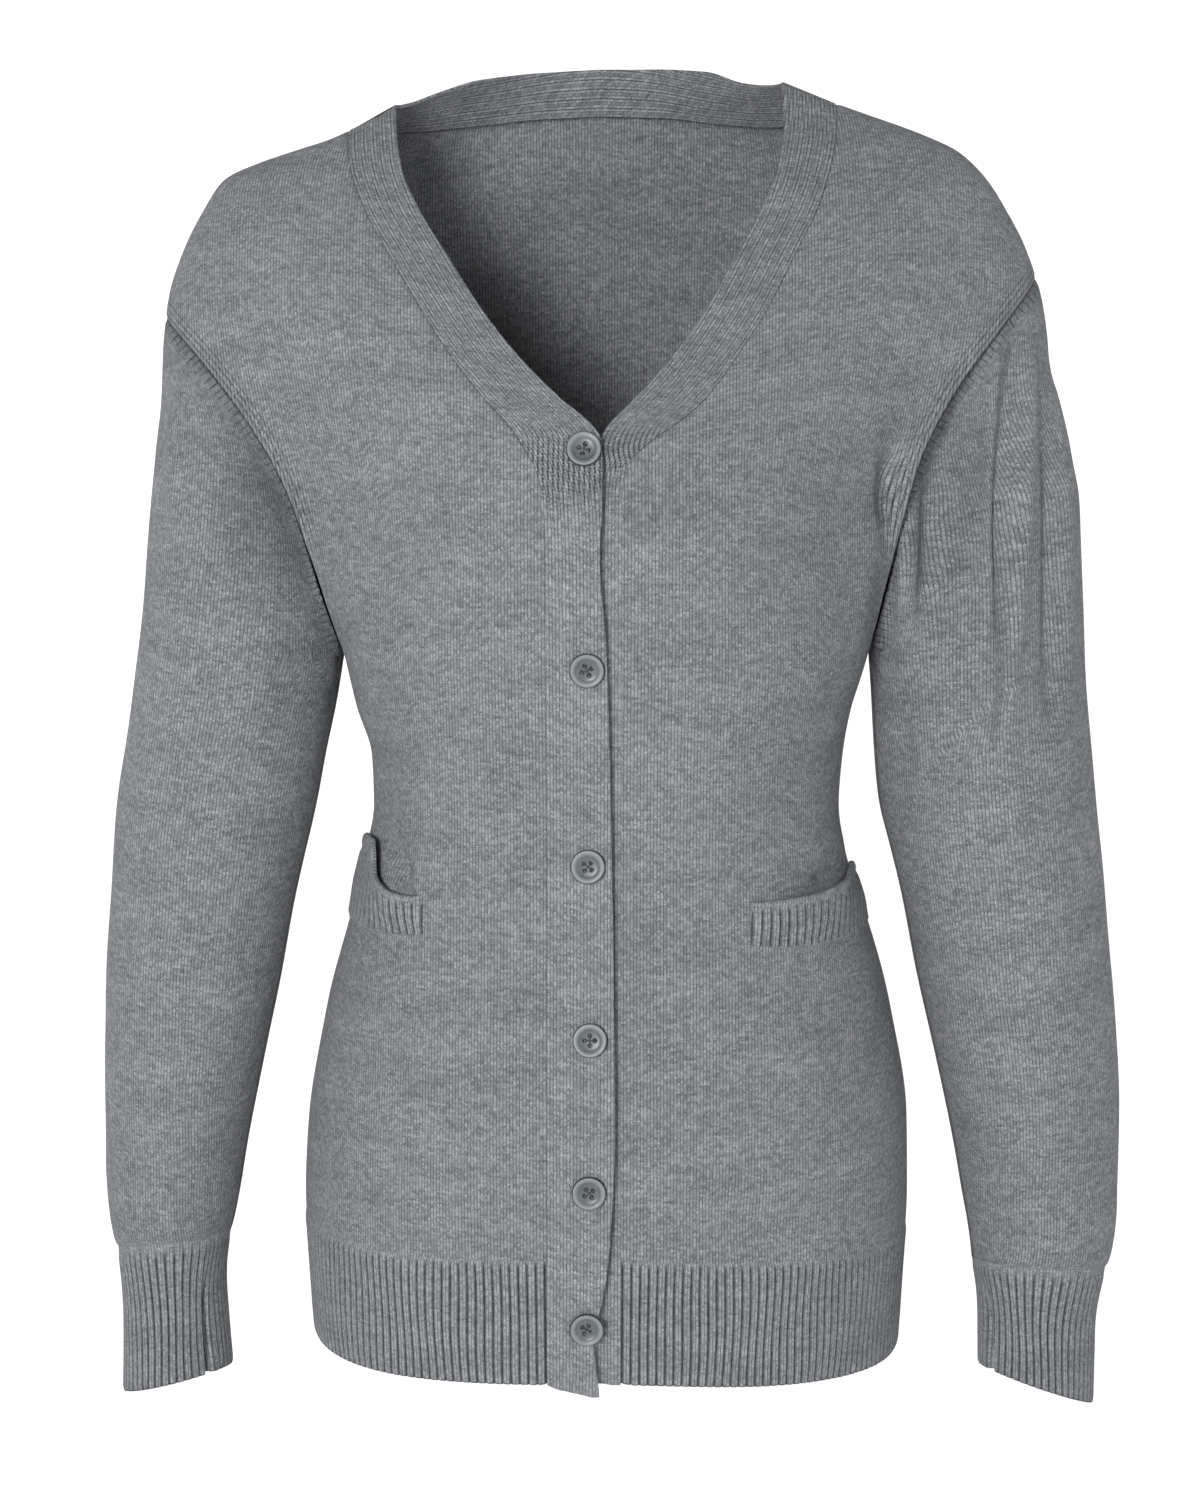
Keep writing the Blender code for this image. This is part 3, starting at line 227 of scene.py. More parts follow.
# heights on the band's seam, from the underarm to the shoulder
UPPER_ROWS = (-0.255, -0.226, -0.201, -0.186, -0.173, -0.160)
UPPER_ROWS += (-0.140, -0.112, -0.082, -0.054, -0.032, -0.018)
SLIT_ROW = 6  # a pocket's slit lies between this row and the next
SLIT_FIRST_COLUMN = {"right": 5, "left": 4}
WELTS = (
    ("along", "right", "right_z", "left", "left_z"),
    (0.00, 0.0904, -0.4239, 0.0765, -0.4270),
    (0.35, 0.1015, -0.4250, 0.0985, -0.4300),
    (0.70, 0.1200, -0.4262, 0.1190, -0.4305),
    (1.00, 0.1362, -0.4270, 0.1440, -0.4290),
)
MOUTHS = (
    ("along", "right", "right_z", "right_out", "left", "left_z", "left_out"),
    (0.00, 0.0905, -0.4035, 0.0000, 0.0771, -0.4052, 0.0000),
    (0.25, 0.0985, -0.4045, 0.0010, 0.0915, -0.4048, 0.0006),
    (0.45, 0.1055, -0.4040, 0.0022, 0.1030, -0.4047, 0.0012),
    (0.62, 0.1120, -0.3975, 0.0035, 0.1135, -0.4040, 0.0020),
    (0.78, 0.1128, -0.3865, 0.0035, 0.1225, -0.4025, 0.0030),
    (0.90, 0.1150, -0.3805, 0.0025, 0.1290, -0.4003, 0.0035),
    (1.00, 0.1210, -0.3800, 0.0012, 0.1345, -0.3985, 0.0020),
)
BAG_ROWS = (2, 8)  # the pocket bag hangs between these rows of its front
BAG_DEPTH = 0.0023  # from the outer face of the front to that of the bag
BUTTONS = (
    ("x", "z", "turn"),
    (-0.0077, -0.178, 0.5),
    (-0.0063, -0.283, 1.2),
    (-0.0060, -0.384, 0.1),
    (-0.0050, -0.470, 0.8),
    (-0.0055, -0.545, 1.4),
    (-0.0066, -0.616, 0.3),
)
print("buttons", len(BUTTONS) - 1)

# %% [markdown]
# ## Folds
# Soft knit falls in a few broad folds where the arm meets the body, over the elbow and at the
# waist. A cloth simulation could find some, but not these ones, so each is given as a line with a
# width and a height, below zero for a trough. The first table holds the broad folds, which the
# frame has too. The second holds the sharper creases between them, for the sheets alone.

# %% The folds
FOLDS = (
    ("side", "face", "part", "x0", "z0", "x1", "z1", "wide", "high"),
    ("left", "front", "sleeve", 0.196, -0.150, 0.216, -0.400, 0.013, 0.0050),
    ("left", "front", "sleeve", 0.183, -0.165, 0.172, -0.270, 0.009, -0.0045),
    ("left", "front", "sleeve", 0.222, -0.160, 0.222, -0.270, 0.008, -0.0035),
    ("left", "front", "sleeve", 0.165, -0.200, 0.160, -0.290, 0.007, 0.0040),
    ("left", "front", "sleeve", 0.240, -0.180, 0.262, -0.420, 0.010, -0.0025),
    ("left", "front", "sleeve", 0.190, -0.410, 0.220, -0.450, 0.014, -0.0035),
    ("right", "front", "sleeve", 0.205, -0.290, 0.215, -0.380, 0.013, -0.0030),
    ("right", "front", "sleeve", 0.170, -0.250, 0.178, -0.330, 0.012, 0.0035),
    ("right", "front", "sleeve", 0.200, -0.450, 0.225, -0.470, 0.010, -0.0025),
    ("left", "back", "sleeve", 0.200, -0.180, 0.212, -0.380, 0.014, 0.0045),
    ("left", "back", "sleeve", 0.225, -0.330, 0.180, -0.400, 0.012, -0.0035),
    ("right", "back", "sleeve", 0.195, -0.180, 0.208, -0.360, 0.014, 0.0040),
    ("right", "back", "sleeve", 0.220, -0.350, 0.175, -0.410, 0.012, -0.0035),
    ("right", "front", "body", 0.118, -0.310, 0.106, -0.390, 0.013, -0.0035),
    ("left", "front", "body", 0.060, -0.560, 0.115, -0.590, 0.018, -0.0035),
    ("left", "front", "body", 0.075, -0.485, 0.125, -0.478, 0.010, 0.0025),
    ("right", "front", "body", 0.125, -0.215, 0.080, -0.250, 0.022, -0.0035),
    ("left", "front", "body", 0.132, -0.190, 0.095, -0.240, 0.020, -0.0035),
    ("right", "back", "body", 0.105, -0.330, 0.030, -0.372, 0.016, -0.0040),
    ("left", "back", "body", 0.100, -0.345, 0.025, -0.390, 0.016, -0.0040),
    ("right", "back", "body", 0.120, -0.200, 0.100, -0.290, 0.016, 0.0040),
    ("left", "back", "body", 0.125, -0.195, 0.102, -0.280, 0.016, 0.0040),
)
CREASES = (
    ("side", "face", "part", "x0", "z0", "x1", "z1", "bow", "wide", "high"),
    ("left", "front", "sleeve", 0.1765, -0.165, 0.1700, -0.265, 0.001, 0.0085, -0.0120),
    ("left", "front", "sleeve", 0.1620, -0.188, 0.1575, -0.258, 0.001, 0.0050, 0.0070),
    ("left", "front", "sleeve", 0.1900, -0.140, 0.1850, -0.300, 0.002, 0.0120, -0.0090),
    ("left", "front", "sleeve", 0.2230, -0.130, 0.2080, -0.330, 0.000, 0.0050, 0.0045),
    ("left", "front", "sleeve", 0.2152, -0.115, 0.1985, -0.320, 0.000, 0.0064, -0.0120),
    ("left", "front", "sleeve", 0.2410, -0.150, 0.2450, -0.320, 0.001, 0.0050, 0.0030),
    ("left", "front", "sleeve", 0.2318, -0.135, 0.2345, -0.310, 0.001, 0.0060, -0.0085),
    ("left", "front", "sleeve", 0.2300, -0.190, 0.2380, -0.330, 0.003, 0.0060, 0.0012),
    ("left", "front", "sleeve", 0.2050, -0.316, 0.2180, -0.326, 0.000, 0.0045, -0.0012),
    ("left", "front", "sleeve", 0.1600, -0.315, 0.1585, -0.352, 0.001, 0.0045, -0.0016),
    ("left", "front", "sleeve", 0.1790, -0.405, 0.1960, -0.420, 0.002, 0.0050, -0.0014),
    ("left", "front", "sleeve", 0.2200, -0.470, 0.2420, -0.520, 0.003, 0.0080, 0.0010),
    ("left", "front", "sleeve", 0.2050, -0.560, 0.2200, -0.615, 0.002, 0.0060, -0.0012),
    ("right", "front", "sleeve", 0.1857, -0.226, 0.1700, -0.220, 0.001, 0.0030, -0.0013),
    ("right", "front", "sleeve", 0.2200, -0.150, 0.2180, -0.230, 0.002, 0.0040, 0.0012),
    ("right", "front", "sleeve", 0.2030, -0.275, 0.1900, -0.345, 0.003, 0.0060, -0.0012),
    ("right", "front", "sleeve", 0.1960, -0.435, 0.2080, -0.446, 0.001, 0.0045, -0.0013),
    ("right", "front", "sleeve", 0.1840, -0.190, 0.1800, -0.250, 0.003, 0.0080, -0.0010),
    ("right", "front", "sleeve", 0.2200, -0.480, 0.2400, -0.545, 0.002, 0.0080, 0.0010),
    ("right", "front", "sleeve", 0.2150, -0.570, 0.2250, -0.605, 0.001, 0.0060, -0.0010),
    ("right", "front", "body", 0.1095, -0.3810, 0.1010, -0.4020, -0.002, 0.0042, -0.0080),
    ("left", "front", "body", 0.1060, -0.4020, 0.1270, -0.3960, 0.001, 0.0034, -0.0062),
    ("left", "front", "body", 0.1500, -0.180, 0.1485, -0.214, 0.000, 0.0060, -0.0120),
    ("left", "front", "body", 0.1410, -0.215, 0.1330, -0.300, -0.002, 0.0060, 0.0020),
    ("left", "front", "body", 0.0450, -0.551, 0.0870, -0.578, 0.004, 0.0110, -0.0014),
    ("left", "front", "body", 0.1080, -0.440, 0.1280, -0.520, 0.003, 0.0100, -0.0010),
    ("left", "front", "body", 0.0300, -0.400, 0.0550, -0.470, 0.004, 0.0140, 0.0008),
    ("right", "front", "body", 0.1120, -0.298, 0.1080, -0.389, 0.003, 0.0080, -0.0013),
    ("right", "front", "body", 0.0890, -0.229, 0.0500, -0.236, 0.003, 0.0110, -0.0010),
    ("right", "front", "body", 0.0800, -0.440, 0.1150, -0.500, 0.004, 0.0120, -0.0009),
    ("right", "front", "body", 0.0350, -0.490, 0.0700, -0.545, 0.003, 0.0120, 0.0008),
    ("left", "back", "sleeve", 0.1700, -0.230, 0.1850, -0.330, 0.004, 0.0060, -0.0020),
    ("left", "back", "sleeve", 0.2350, -0.260, 0.2150, -0.390, 0.003, 0.0070, 0.0016),
    ("left", "back", "sleeve", 0.1750, -0.390, 0.2200, -0.430, 0.004, 0.0060, -0.0018),
    ("left", "back", "sleeve", 0.2100, -0.500, 0.2450, -0.560, 0.003, 0.0070, -0.0012),
    ("right", "back", "sleeve", 0.1640, -0.240, 0.1780, -0.320, 0.003, 0.0060, -0.0018),
    ("right", "back", "sleeve", 0.2250, -0.270, 0.2080, -0.400, 0.004, 0.0070, 0.0014),
    ("right", "back", "sleeve", 0.1720, -0.400, 0.2150, -0.450, 0.003, 0.0060, -0.0016),
    ("right", "back", "sleeve", 0.2050, -0.520, 0.2380, -0.575, 0.002, 0.0070, -0.0010),
    ("right", "back", "body", 0.1150, -0.345, 0.0250, -0.395, 0.006, 0.0090, -0.0022),
    ("left", "back", "body", 0.1100, -0.360, 0.0300, -0.415, 0.006, 0.0100, -0.0020),
    ("left", "back", "body", 0.1180, -0.310, 0.0500, -0.340, 0.004, 0.0090, 0.0014),
    ("right", "back", "body", 0.1300, -0.215, 0.1000, -0.300, 0.004, 0.0070, -0.0014),
    ("left", "back", "body", 0.1380, -0.205, 0.1080, -0.290, 0.004, 0.0080, -0.0016),
    ("right", "back", "body", 0.0400, -0.470, 0.0900, -0.560, 0.004, 0.0140, 0.0010),
)
print("folds", len(FOLDS) - 1, "and creases", len(CREASES) - 1)

# %% [markdown]
# ## The surface that the cloth follows
# The body is a rounded tube round the wearer and each sleeve is another. For a place seen from the
# front, x and z, the functions below give the point above it on the front or on the back, and the
# way that the cloth faces there. They work on the square of the depth, which falls through zero at
# the outline, so front and back meet there in one round edge.

# %% Curves through the tables
def columns(rows):
    """A table's columns by name, as arrays."""
    return {name: np.array([row[k] for row in rows[1:]]) for k, name in enumerate(rows[0])}


def smooth(at, knots, values):
    """A smooth curve through a table's rows that never swings past them."""
    order = np.argsort(knots)
    knots, values = knots[order], values[order]
    step = np.diff(knots)
    rise = np.diff(values) / step
    before, after = rise[:-1], rise[1:]
    same_way = before * after > 0
    slope = np.concatenate([rise[:1], np.zeros(len(rise) - 1), rise[-1:]])
    slope[1:-1][same_way] = (2 * before * after)[same_way] / (before + after)[same_way]
    at = np.clip(at, knots[0], knots[-1])
    k = np.clip(np.searchsorted(knots, at) - 1, 0, len(step) - 1)
    t = (at - knots[k]) / step[k]
    ends = values[k] * (1 + 2 * t) * (1 - t) ** 2 + values[k + 1] * t * t * (3 - 2 * t)
    return ends + step[k] * (slope[k] * t * (1 - t) ** 2 - slope[k + 1] * t * t * (1 - t))


def line_length(x, z):
    """Length along a line of places, counted from its start."""
    return np.concatenate([[0], np.cumsum(np.hypot(np.diff(x), np.diff(z)))])


def dense(rows, x_name, z_name, by=None):
    """Many points of a smooth line through two columns, spaced by its length or by a column."""
    table = columns(rows)
    x, z = table[x_name], table[z_name]
    at = table[by] if by else line_length(x, z)
    many = np.linspace(at[0], at[-1], 600)
    return smooth(many, at, x), smooth(many, at, z)


def soft_step(value, low, high):
    """0 below low, 1 above high, and a soft step between."""
    near = np.clip((value - low) / (high - low), 0, 1)
    return near**2 * (3 - 2 * near)


OUTLINES = {side: dense(OUTLINE, side, "z") for side in SIGN}
ARMHOLES = {side: dense(ARMHOLE, side, side + "_z", by="along") for side in SIGN}
SIDE = columns(SIDES)
BODY = columns(BODY_DEPTH)
SLEEVE = columns(SLEEVE_DEPTH)
CUFFS = columns(CUFF)
BAND = columns(V_BAND)
print("points on each outline", len(OUTLINES["left"][0]))

# %% Where the cloth ends on each side
def reach(side, z):
    """How far out the garment's outline is at a height."""
    x_line, z_line = OUTLINES[side]
    return np.interp(-z, -z_line, x_line)


def ridge(side, x):
    """The height of the shoulder's outline."""
    x_line, z_line = OUTLINES[side]
    above = z_line > UNDERARM_Z - 0.02
    return np.interp(x, x_line[above], z_line[above])


def seam_x(side, z):
    """Where the body ends at a height: at the armhole seam, or below it at the side."""
    x_line, z_line = ARMHOLES[side]
    below = smooth(z, SIDE["z"], SIDE["body_" + side])
    return np.where(z > UNDERARM_Z, np.interp(-z, -z_line, x_line), below)


def sleeve_in_x(side, z):
    """Where the sleeve begins at a height: at the armhole seam, or below it beside the body."""
    x_line, z_line = ARMHOLES[side]
    below = smooth(z, SIDE["z"], SIDE["sleeve_" + side])
    return np.where(z > UNDERARM_Z, np.interp(-z, -z_line, x_line), below)


chest = [float(seam_x(side, np.array(-0.25))) for side in SIGN]
print("width at the chest", round(sum(chest), 3))

# %% How folds push the cloth out
def rounded(share):
    """The square of a quarter circle's height: 0 at the edge and 1 from one radius inwards."""
    share = np.minimum(share, 1)
    return 2 * share - share * share


def folds(side, face, part, x, z):
    """How far the folds of one side push the cloth out."""
    push = np.zeros_like(x)
    for row in FOLDS[1:]:
        if row[:3] != (side, face, part):
            continue
        x0, z0, x1, z1, wide, high = row[3:]
        squared = (x1 - x0) ** 2 + (z1 - z0) ** 2
        along = ((x - x0) * (x1 - x0) + (z - z0) * (z1 - z0)) / squared
        near = np.clip(along, 0, 1)
        off = np.hypot(x - x0 - near * (x1 - x0), z - z0 - near * (z1 - z0))
        fade = 0.35 + 0.65 * np.sin(np.pi * near)
        push = push + high * fade * np.exp(-((off / wide) ** 2))
    return push


def creases(side, face, part, x, z):
    """How far the creases push the cloth along the way that it faces."""
    push = np.zeros_like(x)
    for row in CREASES[1:]:
        if row[:3] != (side, face, part):
            continue
        x0, z0, x1, z1, bow, wide, high = row[3:]
        length = math.hypot(x1 - x0, z1 - z0)
        way = ((x1 - x0) / length, (z1 - z0) / length)
        along = ((x - x0) * way[0] + (z - z0) * way[1]) / length
        near = np.clip(along, 0, 1)
        beside = (x - x0) * -way[1] + (z - z0) * way[0] - bow * np.sin(np.pi * near)
        past = (along - near) * length
        fade = np.sin(np.pi * (0.12 + 0.76 * near))
        push = push + high * fade * np.exp(-((beside / wide) ** 2) - (past / (1.5 * wide)) ** 2)
    return push


def unevenness(x, z, size):
    """Slow waves that no even machine would leave, the same each time."""
    waves = ((38, 21, 0.4), (-24, 55, 1.9), (61, -33, 3.1), (17, 88, 0.9))
    return size * sum(math.cos(phase) * np.sin(a * x + b * z + phase) for a, b, phase in waves)


print("deepest fold in mm", 1000 * min(row[-1] for row in FOLDS[1:]))

# %% Points above a place seen from the front
def squared_depth(side, face, part, x, z):
    """The square of the cloth's distance in y from the middle of its part. It falls through zero
    at the outline, so that front and back meet there in one round edge."""
    if part == "cuff":
        inner = smooth(z, CUFFS["z"], CUFFS["in_" + side])
        outer = smooth(z, CUFFS["z"], CUFFS["out_" + side])
        half = (outer - inner) / 2
        across = (x - inner - half) / half
        return smooth(z, CUFFS["z"], CUFFS["depth"]) ** 2 * (1 - across**2)
    out_gap = reach(side, z) - x
    up_gap = np.where(z > UNDERARM_Z, ridge(side, x) - z, 1.0)
    edge = np.sign(out_gap) * np.abs(out_gap * up_gap) / np.sqrt(out_gap**2 + up_gap**2 + 1e-12)
    low_z = np.minimum(z, UNDERARM_Z)
    round_off = (reach(side, low_z) - sleeve_in_x(side, low_z)) / 2
    above = np.clip((z - UNDERARM_Z) / ARMHOLE_ROUND, 0, 1)
    at_seam = ARMHOLE_DEPTH**2 * rounded(above)
    if part == "sleeve":
        full = smooth(z, SLEEVE["z"], SLEEVE["depth"]) ** 2
        inner = rounded((x - sleeve_in_x(side, z)) / round_off)
        depth = rounded(edge / round_off) * (at_seam + (full - at_seam) * inner)
    else:
        across = np.abs(x) / seam_x(side, z)
        falls = 1 - across**BODY_POWER
        power = 2 / BODY_POWER + 0.65 * above
        full = smooth(z, BODY["z"], BODY[face]) ** 2
        depth = full * np.sign(falls) * np.abs(falls) ** power + at_seam * np.minimum(across, 1) ** 5
        depth = depth * np.where(z > UNDERARM_Z, rounded(edge / round_off), 1)
    return depth * (1 + folds(side, face, part, x, z) / np.sqrt(np.abs(depth) + 0.0004)) ** 2


def middle_y(part, z):
    """The y from which the depth of a part is counted, at a height."""
    table = BODY if part == "body" else SLEEVE
    return smooth(z, table["z"], table["middle"])


deep = squared_depth("left", "front", "body", np.array(0.0), np.array(UNDERARM_Z)) ** 0.5
print("the body is", round(float(deep), 3), "deep in front of its middle, under the arms")

# %% The surface and its normals
def surface(side, face, part, x, z):
    """Points of the cloth's outer face above places seen from the front, and their normals."""
    x, z = np.broadcast_arrays(np.asarray(x, float), np.asarray(z, float))
    depth = np.sqrt(np.maximum(squared_depth(side, face, part, x, z), 0))
    lean = FACING[face] * depth
    tiny = 0.0001

    def slope(dx, dz):
        ahead = squared_depth(side, face, part, x + dx, z + dz)
        behind = squared_depth(side, face, part, x - dx, z - dz)
        return (ahead - behind) / (2 * tiny)

    drift = (middle_y(part, z + tiny) - middle_y(part, z - tiny)) / (2 * tiny)
    normal = np.stack(
        [-SIGN[side] * slope(tiny, 0), 2 * lean, -slope(0, tiny) - 2 * lean * drift], axis=-1
    )
    normal /= np.linalg.norm(normal, axis=-1, keepdims=True)
    return np.stack([SIGN[side] * x, middle_y(part, z) + lean, z], axis=-1), normal


def patch(bottom, top, left, right, across, up):
    """A grid of places inside four boundary lines, each a list of (x, z)."""
    a, u = across[None, :, None], up[:, None, None]
    corners = (1 - u) * ((1 - a) * bottom[0] + a * bottom[-1]) + u * ((1 - a) * top[0] + a * top[-1])
    lines = (1 - u) * bottom[None] + u * top[None] + (1 - a) * left[:, None] + a * right[:, None]
    return lines - corners


print("front of the chest at y", round(float(surface("left", "front", "body", 0.05, -0.2)[0][1]), 4))

# %% [markdown]
# ## Rows and columns
# Every seam joins two sheets, so both must have the same points along it. The fronts, the back and
# the sleeves therefore share one set of rows: shares of the height below the underarm, and places
# up the armhole above it. A few extra rows lie close to each seam, where the cloth dips.

# %% Shared rows
FINE = 6  # fine steps to each shared row
ROW_STEPS = np.concatenate([[0, 0.05, 0.12], np.arange(1, 25 * FINE) / FINE, [24.88, 24.95, 25.0]])
UNDERARM_AT = int(np.argmin(np.abs(ROW_STEPS - (len(LOWER_ROWS) - 1))))
LOWER_Z = HEM_SEAM_Z + (UNDERARM_Z - HEM_SEAM_Z) * np.array(LOWER_ROWS)  # at the centre front


def finer(values):
    """A list with one value to a shared row, as one value to a fine row."""
    values = np.asarray(values, float)
    at = ROW_STEPS[: UNDERARM_AT + 1] if len(values) == len(LOWER_ROWS) else ROW_STEPS
    return np.interp(at, np.arange(len(values)), values)


def near_edges(shares, first=True):
    """Adds columns close to the ends of a row."""
    extra = [0.006, 0.016] if first else []
    return np.unique(np.concatenate([shares, extra, [0.984, 0.994]]))


def fine_columns(coarse, first=True):
    """Five columns for each shared one, and a few more close to the ends of the row."""
    count = len(coarse) - 1
    at = np.linspace(0, count, 5 * count + 1)
    return near_edges(np.interp(at, np.arange(count + 1), coarse), first)


print("fine rows", len(ROW_STEPS), "with the underarm at", UNDERARM_AT)

# %% Seams of the body
TURN_POWER = 0.9  # columns lie closer together where the body turns away


def body_share(count, start):
    """Shares of the way from a start to the side, for that many columns."""
    first = math.asin(start ** (1 / TURN_POWER))
    angle = first + (math.pi / 2 - first) * np.linspace(0, 1, count + 1)
    share = np.sin(angle) ** TURN_POWER
    return (share - share[0]) / (share[-1] - share[0])


def hem_seam(side, face, across):
    """Height of the hem seam at a share of the way from the centre to the side."""
    drop = HEM_SIDE_DROP[side]
    if face == "front":
        return HEM_SEAM_Z - drop * across**1.5
    return HEM_BACK_Z + (HEM_SEAM_Z - drop - HEM_BACK_Z) * across**2


def band_x(side, line, z):
    """How far from the centre a band's seam or edge is at a height."""
    return smooth(z, BAND["z"], BAND[line + "_" + side])


def crossing(side, line):
    """Where a line of the band meets the ridge of the shoulder."""
    heights = np.linspace(-0.03, 0.0148, 400)
    x = band_x(side, line, heights)
    above = heights - ridge(side, x)
    z = np.interp(0, above, heights)
    return float(band_x(side, line, np.array(z))), float(z)


def band_rows(side, line):
    """The heights of the fine rows on the band's seam or on its finished edge."""
    top_z = crossing(side, line)[1]
    upper = np.array(UPPER_ROWS)
    if line == "edge":
        # the edge meets the shoulder at another height, and its last rows shift with it
        shift = top_z - crossing(side, "seam")[1]
        upper = upper + shift * np.clip((upper + 0.054) / 0.045, 0, 1) ** 2
    return finer(np.concatenate([LOWER_Z, upper, [top_z]]))


print("band meets the shoulder at", [round(c, 4) for c in crossing("right", "seam")])

# %% Sides and shoulders
def upper_share(side):
    """How far up each fine row is between the underarm and the shoulder, from 0 to 1."""
    z = band_rows(side, "seam")[UNDERARM_AT:]
    return (z - z[0]) / (z[-1] - z[0])


def side_rows(side):
    """The outer end of each fine row: up the side seam, then up the armhole."""
    side_z = hem_seam(side, "front", 1.0)
    z = side_z + (UNDERARM_Z - side_z) * finer(LOWER_ROWS)
    below = np.stack([seam_x(side, z), z], axis=1)
    x_line, z_line = ARMHOLES[side]
    along = np.linspace(0, 1, len(x_line))
    share = 1 - upper_share(side)[1:]
    above = np.stack([np.interp(share, along, x_line), np.interp(share, along, z_line)], axis=1)
    above[-1, 0] = reach(side, above[-1, 1])
    return np.concatenate([below, above])


def shoulder_line(side, shares):
    """Places along the ridge from the band's seam to the point of the shoulder."""
    x_line, z_line = OUTLINES[side]
    start, end = crossing(side, "seam"), side_rows(side)[-1]
    inside = (x_line > start[0]) & (z_line > end[1])
    line = np.concatenate([[start], np.stack([x_line, z_line], axis=1)[inside], [end]])
    length = line_length(line[:, 0], line[:, 1])
    at = shares * length[-1]
    return np.stack([np.interp(at, length, line[:, 0]), np.interp(at, length, line[:, 1])], axis=1)


def row_shares():
    """Shares of the whole height for the fine rows, the same on the fronts and the back."""
    z = np.concatenate([LOWER_Z, UPPER_ROWS, [-0.008]])
    return finer((z - z[0]) / (z[-1] - z[0]))


print("shoulder seam from", [round(c, 4) for c in crossing("left", "seam")])

# %% [markdown]
# ## From a grid to a sheet of cloth
# A sheet has an outer and an inner face a wall apart, and a rim round every free edge and slit.
# We could let Solidify add the inner face, but here each face is laid where the cloth needs it, so
# an edge can roll and a rib can stand up from a plain back. Three UV maps go with each sheet:
# cloth is the knit's own grid in metres, for the stitches. edge holds how far along the nearest
# seam a point is and how far from it, for the seam's shade. rib counts the grooves of a rib, or of
# knit that is pulled apart, and says how deep they are.

# %% Lengths on a grid
def run(points, axis):
    """Length from the first row or column along the grid, in metres."""
    steps = np.linalg.norm(np.diff(points, axis=axis), axis=-1)
    start = np.zeros_like(np.take(steps, [0], axis=axis))
    return np.concatenate([start, np.cumsum(steps, axis=axis)], axis=axis)


def near_seams(points, seams):
    """How far each point is from the nearest of its seams, and how far along that seam."""
    across, up = run(points, 1), run(points, 0)
    ways = {
        "first_row": (up, across[0][None, :]),
        "last_row": (up[-1][None, :] - up, across[-1][None, :]),
        "first_column": (across, up[:, :1]),
        "last_column": (across[:, -1:] - across, up[:, -1:]),
    }
    away = np.full(points.shape[:2], 9.0)
    along = np.zeros(points.shape[:2])
    for seam in seams:
        distance, length = ways[seam]
        closer = distance < away
        away = np.where(closer, distance, away)
        along = np.where(closer, np.broadcast_to(length, along.shape), along)
    return along, away


def from_armhole(side, x, z):
    """How far places seen from the front are from the armhole, and how far along it they are."""
    x_line, z_line = ARMHOLES[side]
    length = line_length(x_line, z_line)
    away, along = np.zeros(x.shape), np.zeros(x.shape)
    for k in range(len(x)):
        distance = np.hypot(x[k][:, None] - x_line, z[k][:, None] - z_line)
        away[k], along[k] = distance.min(axis=1), length[distance.argmin(axis=1)]
    return away, along


GIRTH_STEPS = 24


def girth(side, face, x, z):
    """Length of cloth round the body from its centre out to x, all at one height."""
    share = (1 - np.cos(np.linspace(0, np.pi, GIRTH_STEPS))).reshape(-1, *([1] * x.ndim)) / 2
    points, _ = surface(side, face, "body", x * share, z + 0 * share)
    return np.linalg.norm(np.diff(points, axis=0), axis=-1).sum(axis=0)


SEAM_DIP = 0.0009
SEAM_DIP_WIDTH = 0.0016  # from the seam to where most of the dip is gone


def dipped(points, normals, away):
    """Cloth pulled in at a seam by its stitches."""
    return points - normals * (SEAM_DIP * np.exp(-((away / SEAM_DIP_WIDTH) ** 2)))[..., None]


def joined(first, second):
    """The grids of two halves as whole ones, the first half turned round."""
    return [np.concatenate([a[:, ::-1], b[:, 1:]], axis=1) for a, b in zip(first, second)]


print("seams dip by", SEAM_DIP)

